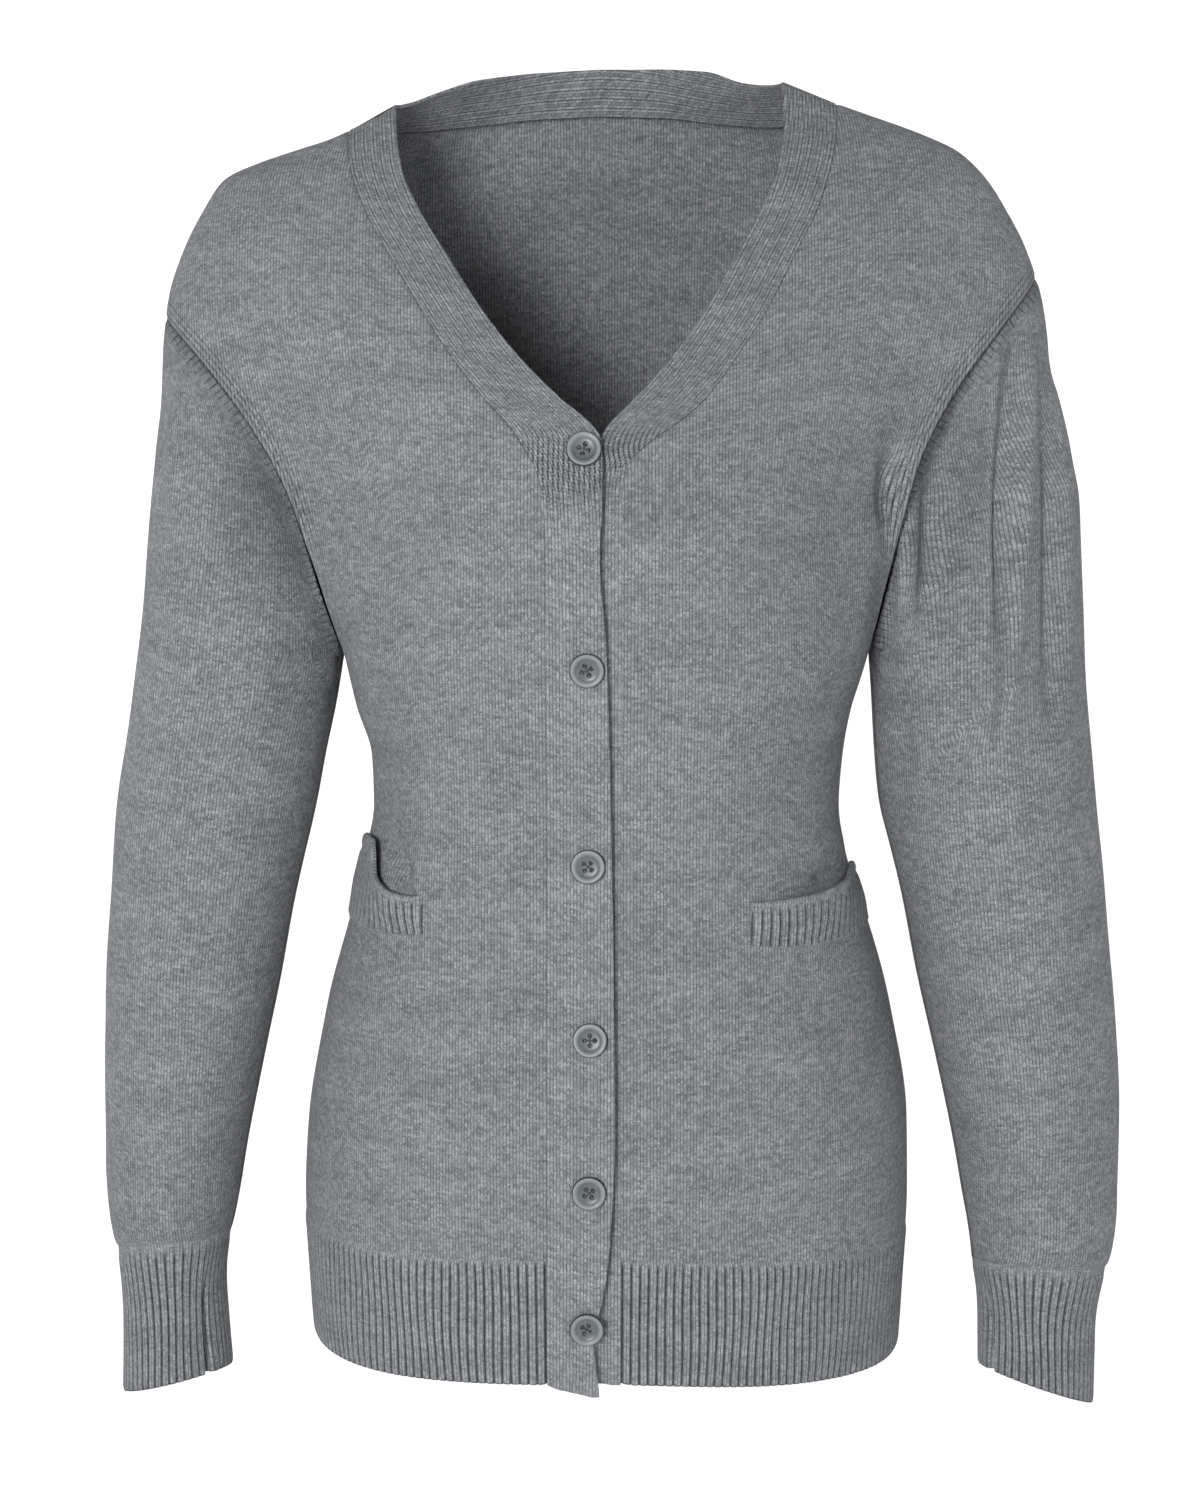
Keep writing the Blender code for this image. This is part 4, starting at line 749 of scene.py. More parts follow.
# %% Make a sheet
def cloth_sheet(name, outer, inner, uv, edge_uv, ring=False, there=None, rib=None):
    """One closed sheet from two grids of points. there leaves out cells for a slit."""
    rows, count = outer.shape[:2]
    cells = np.ones((rows - 1, count - 1), bool) if there is None else there
    # one quad for each cell of the grid, turned to face out
    corner = np.arange(rows * count).reshape(rows, count)
    around = [corner[:-1, :-1], corner[:-1, 1:], corner[1:, 1:], corner[1:, :-1]]
    quads = np.stack(around, -1)[cells]
    points = outer.reshape(-1, 3)[quads]
    facing = np.cross(points[:, 1] - points[:, 0], points[:, 3] - points[:, 0])
    outward = (outer - inner).reshape(-1, 3)[quads[:, 0]]
    if np.sum(facing * outward) < 0:
        quads = quads[:, ::-1]
    # on a ring the last column is the first one again
    vertex = corner.copy()
    if ring:
        vertex[:, -1] = vertex[:, 0]
    vertex = vertex.reshape(-1)
    # a rim closes every edge that only one quad has
    edges = {}
    for quad in quads.tolist():
        for a, b in zip(quad, quad[1:] + quad[:1]):
            edges[(int(vertex[a]), int(vertex[b]))] = (a, b)
    rims = [(b, a) for (p, q), (a, b) in edges.items() if (q, p) not in edges]
    total = rows * count
    faces = quads.tolist() + (quads[:, ::-1] + total).tolist()
    faces += [(b, a, a + total, b + total)[::-1] for b, a in rims]
    # only the points that a face uses go into the mesh
    both = np.concatenate([vertex, vertex + total])
    used = np.unique(both[np.array(faces)])
    place = np.zeros(2 * total, int)
    place[used] = np.arange(len(used))
    points = np.concatenate([outer.reshape(-1, 3), inner.reshape(-1, 3)])[used]
    mesh = bpy.data.meshes.new(name)
    mesh.from_pydata(points.tolist(), [], place[both[np.array(faces)]].tolist())
    flat = np.array(faces).reshape(-1) % total
    none = (np.zeros(outer.shape[:2]), np.zeros(outer.shape[:2]))
    for map_name, values in {"cloth": uv, "edge": edge_uv, "rib": rib or none}.items():
        layer = mesh.uv_layers.new(name=map_name)
        layer.data.foreach_set("uv", np.stack(values, -1).reshape(-1, 2)[flat].reshape(-1))
    piece = bpy.data.objects.new(name, mesh)
    bpy.context.collection.objects.link(piece)
    return piece


print("a sheet carries", ("cloth", "edge", "rib"), "as its UV maps")

# %% Finish a piece
def select_alone(piece):
    """Makes a piece the only one selected, and the active one."""
    bpy.ops.object.select_all(action="DESELECT")
    piece.select_set(True)
    bpy.context.view_layer.objects.active = piece


def finish_piece(piece, finish, slot, *nodes, sharp=50):
    """Smooth shading, a material, and its place in the frame."""
    select_alone(piece)
    bpy.ops.object.shade_smooth_by_angle(angle=math.radians(sharp))
    piece.data.materials.clear()
    piece.data.materials.append(finish)
    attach(piece, "root")
    if nodes:
        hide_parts(*nodes)
    triangles = sum(len(p.vertices) - 2 for p in piece.data.polygons)
    print(piece.name, "triangles", triangles)


def declare_cloth(outer):
    """Works out the cross product of the diagonals of each cell of a sheet's grid; nothing uses it."""
    # half the cross product of a cell's diagonals is its area
    crossed = np.cross(outer[1:, 1:] - outer[:-1, :-1], outer[1:, :-1] - outer[:-1, 1:])


print("sheets are ready to make")

# %% [markdown]
# ## The knit's finish
# Grey heather is spun from dark and light fibres, so the colour changes along the yarn, in short
# streaks across the garment, and from stitch to stitch. Columns of stitches, called wales, run up
# the garment, and each stitch is a small V. We draw both from the cloth map, in metres, so the
# stitches keep their size wherever the cloth turns. Painted shade darkens the lines of seams and
# free edges from the edge map, and the gaps and grooves of ribs, bands and pulled knit from the
# rib map. Small helpers keep the node trees short.

# %% Formulas in a node tree
class Value:
    """A number in a node tree. Adding or multiplying it makes the node for that."""

    def __init__(self, tree, socket):
        self.tree, self.socket = tree, socket

    def make(self, operation, *others):
        node = self.tree.nodes.new("ShaderNodeMath")
        node.operation = operation
        for k, value in enumerate((self, *others)):
            if isinstance(value, Value):
                self.tree.links.new(value.socket, node.inputs[k])
            else:
                node.inputs[k].default_value = value
        return Value(self.tree, node.outputs[0])

    def __add__(self, other):
        return self.make("ADD", other)

    def __sub__(self, other):
        return self.make("SUBTRACT", other)

    def __mul__(self, other):
        return self.make("MULTIPLY", other)

    def __pow__(self, power):
        return self.make("POWER", power)

    def wave(self):
        """A sine that repeats each time the value grows by one."""
        return (self * (2 * math.pi)).make("SINE")

    def off_middle(self):
        """0 in the middle of each whole step of the value, and 1 at its ends."""
        return (self.make("FRACT") - 0.5).make("ABSOLUTE") * 2.0

    def rising(self, low, high):
        """0 below low, 1 above high, and a soft step between."""
        node = self.tree.nodes.new("ShaderNodeMapRange")
        node.interpolation_type = "SMOOTHSTEP"
        node.inputs["From Min"].default_value = low
        node.inputs["From Max"].default_value = high
        self.tree.links.new(self.socket, node.inputs["Value"])
        return Value(self.tree, node.outputs[0])


print("a formula can use + - * and **, wave, off_middle and rising")

# %% Node helpers
def new_finish(name, roughness, sheen=0.0, specular=0.2):
    """A material with its node tree and its shader."""
    made = bpy.data.materials.new(name)
    made.use_nodes = True
    shader = made.node_tree.nodes["Principled BSDF"]
    shader.inputs["Roughness"].default_value = roughness
    shader.inputs["Sheen Weight"].default_value = sheen
    shader.inputs["Sheen Roughness"].default_value = 0.5
    shader.inputs["Specular IOR Level"].default_value = specular
    return made, made.node_tree, shader


def uv_values(tree, name):
    """The two numbers of a UV map."""
    node = tree.nodes.new("ShaderNodeUVMap")
    node.uv_map = name
    split = tree.nodes.new("ShaderNodeSeparateXYZ")
    tree.links.new(node.outputs[0], split.inputs[0])
    return Value(tree, split.outputs["X"]), Value(tree, split.outputs["Y"])


def spot(tree, x, y):
    """A place on the cloth from two values."""
    node = tree.nodes.new("ShaderNodeCombineXYZ")
    tree.links.new(x.socket, node.inputs[0])
    tree.links.new(y.socket, node.inputs[1])
    return node.outputs[0]


print("a finish reads the maps of its sheet")

# %% Noise, colour ramps and relief
def noise(tree, place, scale=1.0, detail=2.0):
    """Smooth noise that swings about zero."""
    node = tree.nodes.new("ShaderNodeTexNoise")
    node.inputs["Scale"].default_value = scale
    node.inputs["Detail"].default_value = detail
    tree.links.new(place, node.inputs["Vector"])
    return Value(tree, node.outputs["Fac"]) - 0.5


def grain(tree, place):
    """A tone of its own for each whole place, about zero."""
    node = tree.nodes.new("ShaderNodeTexWhiteNoise")
    node.noise_dimensions = "2D"
    tree.links.new(place, node.inputs["Vector"])
    return Value(tree, node.outputs["Value"]) - 0.5


def ramp(tree, value, stops):
    """A colour for each value, blended between stops of a value and a colour."""
    node = tree.nodes.new("ShaderNodeValToRGB")
    elements = node.color_ramp.elements
    elements.remove(elements[1])
    elements[0].position = stops[0][0]
    for place, _ in stops[1:]:
        elements.new(place)
    for element, (_, colour) in zip(elements, stops):
        element.color = colour
    tree.links.new(value.socket, node.inputs["Fac"])
    return node.outputs["Color"]


def relief(tree, shader, height, distance, strength):
    """Turns a height into bumps on the surface."""
    node = tree.nodes.new("ShaderNodeBump")
    node.inputs["Strength"].default_value = strength
    node.inputs["Distance"].default_value = distance
    tree.links.new(height.socket, node.inputs["Height"])
    tree.links.new(node.outputs[0], shader.inputs["Normal"])


print("node helpers are ready")

# %% The knit
WALE = 0.00168  # width of one column of stitches
COURSE = 0.00126  # height of one row of stitches
BEAD = 0.0019  # from one open stitch to the next along a band
GATHER = 0.0037  # from one small gather to the next along a seam
DARK_FIBRE = (0.062, 0.067, 0.075, 1.0)
MIXED_FIBRE = (0.190, 0.198, 0.211, 1.0)
LIGHT_FIBRE = (0.400, 0.410, 0.425, 1.0)


YARN_STREAKS = 125  # how often the tone changes along the yarn, in a metre
FLECKS = (1450, 1900)  # how often single fibres do, across and up
CLOUDS = (15, 60)  # how often the whole cloth does, across and up
MOST_SHADE = 0.86  # the share of light that the deepest grooves keep back


def knit_finish(name, lighter=1.0, streaks=1.0, gather_shade=False, beads=0.0, groove_from=0.45):
    """Heather knit, with painted shade in the gaps between its wales, in its grooves and along its
    seams. lighter makes its colours lighter, as painted light, and streaks the changes along its
    yarn, gather_shade paints the shade of small gathers at its seams, and beads breaks the painted
    shade of its grooves into open stitches. A groove starts at groove_from, where 0 is the middle
    of a rib and 1 the middle of a groove."""
    made, tree, shader = new_finish(name, 0.95, sheen=0.05)
    u, v = uv_values(tree, "cloth")
    groove_at, groove_deep = uv_values(tree, "rib")
    seam_at, seam_away = uv_values(tree, "edge")
    # each stitch is a V: two legs beside the middle of a wale, higher at their outer ends
    column = u * (1 / WALE)
    beside = column.off_middle()
    slant = v * (1 / COURSE) + beside * 0.8
    row = slant.make("FLOOR")
    stitch = (beside * 0.5).wave() * (slant.wave() * 0.22 + 0.78)
    # the tone of the yarn along each row, of the fibres in it, of single stitches, and of the few
    # light neps, which are tight knots of fibre
    yarn = noise(tree, spot(tree, u * YARN_STREAKS, row * 1.3), detail=1.0)
    fleck = noise(tree, spot(tree, u * FLECKS[0], v * FLECKS[1]))
    broad = noise(tree, spot(tree, u * CLOUDS[0], v * CLOUDS[1]))
    single = grain(tree, spot(tree, column.make("FLOOR"), row))
    nep = single.rising(0.49995, 0.49996)
    tone = yarn * (0.50 * streaks) + fleck * 1.4 + broad * 0.25 + single * 0.28 + nep * 0.5 + 0.5
    fibres = ((0.05, DARK_FIBRE), (0.5, MIXED_FIBRE), (0.92, LIGHT_FIBRE))
    colour = ramp(tree, tone, [(at, (*(c * lighter for c in fibre[:3]), 1)) for at, fibre in fibres])
    # painted shade: the gaps between wales, the grooves between ribs and the line along a seam or a free
    # edge are darker
    patchy = noise(tree, spot(tree, groove_at * 0.7, v * 90)) * 0.5 + 1.0
    if beads:
        patchy = patchy * ((v * (1 / BEAD)).wave() * beads + (1 - beads))
    groove = groove_at.off_middle().rising(groove_from, 0.94) * groove_deep * patchy
    uneven = noise(tree, spot(tree, seam_at * 210, seam_away * 40))
    line = seam_away.rising(0.0003, 0.0013) * -1.0 + 1.0
    painted_shade = beside**4 * 0.72 + groove * 0.72 + line * (uneven * 1.3 + 0.42)
    if gather_shade:
        # painted shade in the notches of small gathers beside the seam
        tooth = (seam_at * (1 / GATHER) + uneven * 0.9).off_middle().rising(0.72, 0.95)
        near = (seam_away + uneven * 0.006).rising(0.0040, 0.0075) * -1.0 + 1.0
        painted_shade = painted_shade + tooth * near * 0.55
    keep = painted_shade.make("MINIMUM", MOST_SHADE) * -1.0 + 1.0
    shade = tree.nodes.new("ShaderNodeVectorMath")
    shade.operation = "SCALE"
    tree.links.new(colour, shade.inputs[0])
    tree.links.new(keep.socket, shade.inputs["Scale"])
    tree.links.new(shade.outputs[0], shader.inputs["Base Color"])
    relief(tree, shader, stitch + fleck * 0.8 - groove * 1.4, 0.00034, 0.75)
    return made


KNIT = knit_finish("grey_heather_knit")
SLEEVE_KNIT = knit_finish("grey_heather_sleeve", gather_shade=True)
# the band and the ribs are lighter copies of the same yarn: painted light
BAND_KNIT = knit_finish("grey_heather_band", lighter=1.06, beads=0.35)
RIB_KNIT = knit_finish("grey_heather_rib", lighter=1.10, streaks=0.6, groove_from=0.70)
print("finishes", [m.name for m in (KNIT, SLEEVE_KNIT, BAND_KNIT, RIB_KNIT)])

# %% [markdown]
# ## Fronts and back
# Each front is knitted to shape, with a slit for the pocket. Its grid fills the space between four
# lines: the hem's seam, the band's seam, the side with the armhole, and the shoulder. The back is
# made the same way from the centre out to each side.

# %% Grids of the fronts and the back
UNEVEN = 0.00025  # how far the cloth wanders off its smooth form


def bent(side, face, part, x, z):
    """The surface with its creases and a slight unevenness."""
    points, normals = surface(side, face, part, x, z)
    push = creases(side, face, part, x, z) + unevenness(SIGN[side] * x, z, UNEVEN)
    return points + normals * push[..., None], normals


# where the knit is pulled apart, its gaps between wales are bumped and darkened with painted shade
PULL_PITCH = 0.0025  # from one wale to the next where the knit is pulled apart
PULLED = {  # where the front bands are pulled apart most, how far, and over what height
    "right": {"z": -0.186, "most": 1.45, "tall": 0.019},
    "left": {"z": -0.178, "most": 1.45, "tall": 0.013},
}
NECK_PULL = 0.62  # how far the bands are pulled apart round the neck


def opened(side, z):
    """How far a band's wales are pulled apart: a little round the neck, most at the top button."""
    at = PULLED[side]
    pulled = at["most"] * np.exp(-(((z - at["z"]) / at["tall"]) ** 2))
    return np.maximum(pulled, NECK_PULL * soft_step(z, -0.175, -0.150))


def inside_seam(side, places, shares):
    """The places' x, kept inside the side seam and the armhole."""
    return np.minimum(places[..., 0], seam_x(side, places[..., 1]) - 0.03 * (1 - shares))


print("right band opens by", round(float(opened("right", np.array(PULLED["right"]["z"]))), 2))

# %% The grid of a front
def front_grid(side):
    """The grid of a front, by name, with the share of each fine and each shared column."""
    seam_z = band_rows(side, "seam")
    left = np.stack([band_x(side, "seam", seam_z), seam_z], axis=1)
    right = side_rows(side)
    shared = body_share(FRONT_COLUMNS, left[0, 0] / right[0, 0])
    shares = fine_columns(shared)
    bottom_x = left[0, 0] + (right[0, 0] - left[0, 0]) * shares
    bottom = np.stack([bottom_x, hem_seam(side, "front", bottom_x / right[0, 0])], axis=1)
    left[0], right[0] = bottom[0], bottom[-1]
    at = np.interp(shares, shared, np.linspace(0, 1, FRONT_COLUMNS + 1))
    places = patch(bottom, shoulder_line(side, at), left, right, shares, row_shares())
    x, z = inside_seam(side, places, shares), places[..., 1]
    points, normals = bent(side, "front", "body", x, z)
    grid = {"points": points, "normals": normals, "x": x, "z": z, "shares": shares, "shared": shared}
    grid["around"] = girth(side, "front", x, z)
    return grid


print("front grid", front_grid("left")["points"].shape[:2])

# %% The grid of the back
def back_neck(side, across, line):
    """The back neck's seam or its finished edge, from the centre back to the shoulder."""
    table = columns(BACK_NECK)
    end = crossing(side, line)
    knots = np.append(table["across"], 1.0)
    heights = smooth(across, knots, np.append(table[line + "_" + side], end[1]))
    return np.stack([end[0] * across, heights], axis=-1)


def half_back(side):
    """Points, normals and u of the back, from its centre out to one side."""
    right = side_rows(side)
    shared = body_share(NECK_COLUMNS + FRONT_COLUMNS, 0.0)
    shares = fine_columns(shared, first=False)
    bottom = np.stack([right[0, 0] * shares, hem_seam(side, "back", shares)], axis=1)
    right[0] = bottom[-1]
    neck, beyond = shared[: NECK_COLUMNS + 1], shared[NECK_COLUMNS:]
    on_neck = shares <= neck[-1] + 1e-9
    angle = np.interp(shares[on_neck], neck, np.linspace(0, math.pi / 2, NECK_COLUMNS + 1))
    at = np.interp(shares[~on_neck], beyond, np.linspace(0, 1, FRONT_COLUMNS + 1))
    top = np.concatenate([back_neck(side, np.sin(angle), "seam"), shoulder_line(side, at)])
    up = row_shares()
    left = np.stack([np.zeros(len(up)), bottom[0, 1] + (top[0, 1] - bottom[0, 1]) * up], axis=1)
    places = patch(bottom, top, left, right, shares, up)
    x, z = inside_seam(side, places, shares), places[..., 1]
    points, normals = bent(side, "back", "body", x, z)
    return points, normals, SIGN[side] * girth(side, "back", x, z)


print("half back grid", half_back("left")[0].shape[:2])

# %% The two fronts
def slit_cells(side, grid):
    """Cells of a front's grid that are left out for the pocket's mouth."""
    shares, shared = grid["shares"], grid["shared"]
    column_at = (shares[1:] + shares[:-1]) / 2
    row_at = (ROW_STEPS[1:] + ROW_STEPS[:-1]) / 2
    in_rows = (row_at > SLIT_ROW) & (row_at < SLIT_ROW + 1)
    past_start = column_at > shared[SLIT_FIRST_COLUMN[side]]
    in_columns = past_start & (column_at < shared[FRONT_COLUMNS - 1])
    return in_rows[:, None] & in_columns[None, :]


def make_front(side):
    """One front, with its cloth map, its seams and its slit."""
    grid = front_grid(side)
    points, normals, x, z = (grid[key] for key in ("points", "normals", "x", "z"))
    along, away = near_seams(points, ("last_row", "last_column"))
    # the band's seam dips above the top button alone
    from_band = run(points, 1) + 0.0005 + 0.02 * (1 - soft_step(z, -0.195, -0.180))
    along = np.where(from_band < away, run(points, 0), along)
    away = np.minimum(away, from_band)
    outer = dipped(points, normals, away)
    inner = outer - normals * WALL
    u = SIGN[side] * grid["around"]
    v = run(points, 0) + points[:1, :, 2]
    # the knit is pulled apart in a narrow strip beside the upper armhole, its wale gaps bumped and
    # darkened with painted shade
    shaped = from_armhole(side, x, z)[0]
    strip = 0.55 * (1 - soft_step(shaped, 0.006, 0.011)) * soft_step(z, -0.25, -0.21)
    wales = (shaped / PULL_PITCH, strip)
    there = ~slit_cells(side, grid)
    name = "front_" + side
    piece = cloth_sheet(name + "_knit", outer, inner, (u, v), (along, away), there=there, rib=wales)
    finish_piece(piece, KNIT, "knit", name)
    declare_cloth(outer)


for side in SIGN:
    make_front(side)

# %% The back
def make_back():
    """The back in one piece, with seams at its sides, its armholes and its shoulders."""
    points, normals, u = joined(half_back("right"), half_back("left"))
    along, away = near_seams(points, ("last_row", "first_column", "last_column"))
    outer = dipped(points, normals, away)
    v = run(points, 0) + points[:1, :, 2]
    piece = cloth_sheet("back_knit", outer, outer - normals * WALL, (u, v), (along, away))
    finish_piece(piece, KNIT, "knit", "back")
    declare_cloth(outer)


make_back()

# %% [markdown]
# ## Sleeves
# A sleeve is a tube with one seam under the arm. It starts at the armhole's own points, so that
# nothing gapes there, and at the wrist it is drawn in to the cuff. Its wales run down the arm, so
# the cloth map is measured from the top of the arm both ways.

# %% Where a sleeve meets its cuff
def cuff_place(side, turn, down):
    """A place on the cuff: turned from its outer side at 0 over the front, and down from its seam
    to its mouth."""
    ends = CUFF_ENDS[side]
    across = (1 - np.cos(2 * np.pi * turn)) / 2
    top = ends["seam"] - SEAM_TRIM + ends["seam_rise"] * across
    mouth = ends["mouth"] + ends["mouth_rise"] * across
    z = top + (mouth - top) * down + CUFF_FRONT_RISE * np.sin(2 * np.pi * turn)
    inner = smooth(z, CUFFS["z"], CUFFS["in_" + side])
    outer = smooth(z, CUFFS["z"], CUFFS["out_" + side])
    return outer + (inner - outer) * across, z


print("top of the left cuff, outer side", [round(float(c), 3) for c in cuff_place("left", 0.0, 0.0)])

# %% How a sleeve falls
# rows down the sleeve as shares of its length, closer together at the armhole and the cuff
SLEEVE_SHARES = np.concatenate(
    [[0, 0.0022, 0.006], np.linspace(0.012, 0.93, 104), np.linspace(0.935, 1, 14)]
)
DRAWN_FROM = {"right": 0.900, "left": 0.935}  # the share where it starts to draw in to the cuff
HOLLOW = {  # how far the sleeve falls back beside the armhole
    ("right", "front"): 0.034,
    ("left", "front"): 0.021,
    ("right", "back"): 0.006,
    ("left", "back"): 0.007,
}
HOLLOW_STARTS = 0.0015  # how soon beside the armhole the hollow is deep
HOLLOW_WIDTH = 0.026
LEAN = math.radians(7)  # the sleeve leans out from the body by this much
SLEEVE_HALF_DEPTH = 0.045  # for counting the knit's columns round the sleeve


def drawn_in(side, up):
    """How far a row has turned from the sleeve's own form to the cuff's."""
    near = np.clip((up - DRAWN_FROM[side]) / (1 - DRAWN_FROM[side]), 0, 1)
    return near**2 * (1.6 - 0.6 * near)


def hollow(side, face, away, along):
    """The sleeve falls back beside the lower half of the armhole, so the body laps over it."""
    deep = HOLLOW[side, face] * soft_step(along, 0.03, 0.12)
    deep = deep * (1 - 0.6 * soft_step(along, 0.135, 0.178))
    starts, ends = 1 - np.exp(-away / HOLLOW_STARTS), np.exp(-((away / HOLLOW_WIDTH) ** 1.4))
    return deep * starts * ends


def flare(down, normals):
    """How far the top of a cuff still stands out with the sleeve above it, most at the front."""
    fuller = 1 + 1.5 * np.abs(normals[..., 1]) ** 2
    return (0.0030 * fuller * np.clip(1 - down / 0.5, 0, 1) ** 2)[..., None]


print("rows down a sleeve", len(SLEEVE_SHARES))

# %% Half a sleeve
def step_lengths(points):
    """How far apart neighbouring points of each row are."""
    return np.linalg.norm(np.diff(points, axis=1), axis=-1)


def sleeve_places(side, face):
    """Where the points of half a sleeve lie, seen from the front, with its armhole and its cuff."""
    armhole = side_rows(side)[UNDERARM_AT:][::-1]
    half_turn = (1 - upper_share(side)[::-1]) / 2
    across = (1 - np.cos(2 * np.pi * half_turn)) / 2
    cuff_x, cuff_z = cuff_place(side, half_turn if face == "front" else -half_turn, 0.0)
    inner, outer = sleeve_in_x(side, cuff_z), reach(side, cuff_z)
    bottom = np.stack([outer + (inner - outer) * across, cuff_z], axis=1)
    out_z = armhole[0, 1] + (cuff_z[0] - armhole[0, 1]) * SLEEVE_SHARES
    left = np.stack([reach(side, out_z), out_z], axis=1)
    in_z = UNDERARM_Z + (cuff_z[-1] - UNDERARM_Z) * SLEEVE_SHARES
    right = np.stack([sleeve_in_x(side, in_z), in_z], axis=1)
    left[0], right[0] = armhole[0], armhole[-1]
    places = patch(armhole, bottom, left, right, across, SLEEVE_SHARES)
    z = places[..., 1]
    x = np.maximum(np.minimum(places[..., 0], reach(side, z)), sleeve_in_x(side, z))
    x[:, 0], x[:, -1] = reach(side, z[:, 0]), sleeve_in_x(side, z[:, -1])
    x[0] = armhole[:, 0]
    return x, z, armhole, (cuff_x, cuff_z)


def sleeve_map(side, face, x, z, longer):
    """The cloth map of half a sleeve, counted round the arm from its top, and down the arm."""
    outer_x, inner_x = reach(side, z), sleeve_in_x(side, z)
    half = (outer_x - inner_x) / 2
    angle = np.arccos(np.clip((x - inner_x) / half - 1, -1, 1))
    around = angle * (half + SLEEVE_HALF_DEPTH) / 2
    # where a fold makes the cloth longer, it takes more columns
    steps = np.diff(around, axis=1) * np.clip(longer, 0.5, 3)
    around = np.concatenate([around[:, :1], around[:, :1] + np.cumsum(steps, axis=1)], axis=1)
    u = SIGN[side] * FACING[face] * around
    v = z * math.cos(LEAN) - x * math.sin(LEAN)
    return u, v


def half_sleeve(side, face):
    """From the top of the arm to the underarm, on the front or on the back."""
    x, z, armhole, cuff_at = sleeve_places(side, face)
    points, normals = bent(side, face, "sleeve", x, z)
    away, along = from_armhole(side, x, z)
    points[..., 1] -= normals[..., 1] * hollow(side, face, away, along)
    plain, _ = surface(side, face, "sleeve", x, z)
    longer = step_lengths(points) / np.maximum(step_lengths(plain), 1e-5)
    u, v = sleeve_map(side, face, x, z, longer)
    # its first row is the armhole's own, and its last rows turn into the cuff's first
    points[0] = bent(side, face, "body", armhole[:, 0], armhole[:, 1])[0]
    cuff_points, cuff_normals = surface(side, face, "cuff", *cuff_at)
    cuff_points = cuff_points + cuff_normals * flare(0.0, cuff_normals)
    share = drawn_in(side, SLEEVE_SHARES)[:, None, None]
    points = points * (1 - share) + cuff_points[None] * share
    return points, normals, u, v, away, along


print("places across half a sleeve", sleeve_places("left", "front")[0].shape[1])

# %% The two sleeves
def make_sleeve(side):
    """A whole sleeve, with its seams round the armhole and under the arm."""
    front, back = half_sleeve(side, "front"), half_sleeve(side, "back")
    points, normals, u, v, away, along = joined(front, back)
    points[:, -1], normals[:, -1] = points[:, 0], normals[:, 0]
    around = run(points, 1)
    seam_away = np.minimum(around, around[:, -1:] - around) + 0.0004
    along = np.where(away < seam_away, along, 0.0)
    away = np.minimum(away, seam_away)
    outer = dipped(points, normals, away)
    inner = outer - normals * WALL
    name = "sleeve_" + side
    piece = cloth_sheet(name + "_knit", outer, inner, (u, v), (along, away), ring=True)
    finish_piece(piece, SLEEVE_KNIT, "knit", name)
    declare_cloth(outer)


for side in SIGN:
    make_sleeve(side)

# %% [markdown]
# ## Ribbing
# Hem, cuffs and pocket welts are two-by-one ribs: two wales stand up, and one falls back in a
# narrow groove. The groove is what the eye sees, so it is modelled in the points of the outer face,
# and painted shade darkens it as well. Ten points across a rib are enough for it.

# %% One rib, and how ribs stand
# one rib across, as shares of its pitch and of its height
RIB_PROFILE = (
    ("at", "high"),
    (0.00, 0.00),
    (0.04, 0.06),
    (0.10, 0.70),
    (0.19, 0.95),
    (0.33, 1.00),
    (0.50, 0.92),
    (0.67, 1.00),
    (0.81, 0.95),
    (0.90, 0.70),
    (0.96, 0.06),
)
# rows down a strip, closer together at its seam and its free edge
RIB_ROWS = np.concatenate([[0, 0.008, 0.02], np.linspace(0.05, 0.95, 16), [0.98, 0.992, 1.0]])
HEM_SWAY, CUFF_SWAY = 0.12, 0.18  # how far ribs wander sideways, as a share of their pitch
HEM_TUCK = 0.0035  # how far the front end of a hem goes under its band
HEM_TUCK_DEPTH = 0.0022


def hung_ribs(down):
    """Ribs that start at the seam above and run out at a free edge."""
    return soft_step(down, 0.0, 0.05)


def sunk(share, down):
    """The ribs stand a little proud of the cloth above, and their grooves lie below it."""
    return -0.25 * RIB_HEIGHT * hung_ribs(down) + 0 * share


def tucked(share, down):
    """The front end of a hem goes under the band that it is sewn to."""
    return sunk(share, down) - HEM_TUCK_DEPTH * (1 - soft_step(share, 0.0, 0.035))


print("rib profile points", len(RIB_PROFILE) - 1, "and rows", len(RIB_ROWS))

# %% A ribbed strip
def rib_grid(cloth, pitch, sway):
    """The ribs of a strip: where its points are, in ribs and as shares, and how high they stand."""
    many = np.linspace(0, 1, 2401)
    around = cloth(many[None, :], np.array([[0.5]]))[0][0]
    length = run(around[None], 1)[0]
    ribs = 2 * round(length[-1] / pitch / 2)
    profile = columns(RIB_PROFILE)
    at = np.append((np.arange(ribs)[:, None] + profile["at"][None, :]).reshape(-1), ribs)
    high = np.append(np.tile(profile["high"], ribs), 0.0)
    held = np.sin(np.pi * np.clip(at / ribs, 0, 1))[None, :]
    wander = sway * np.sin(6.0 * RIB_ROWS[:, None] + 0.37 * at[None, :]) * held
    shares = np.interp((at[None, :] / ribs) * length[-1] + wander * pitch, length, many)
    return ribs, at[None, :], shares, high[None, :]


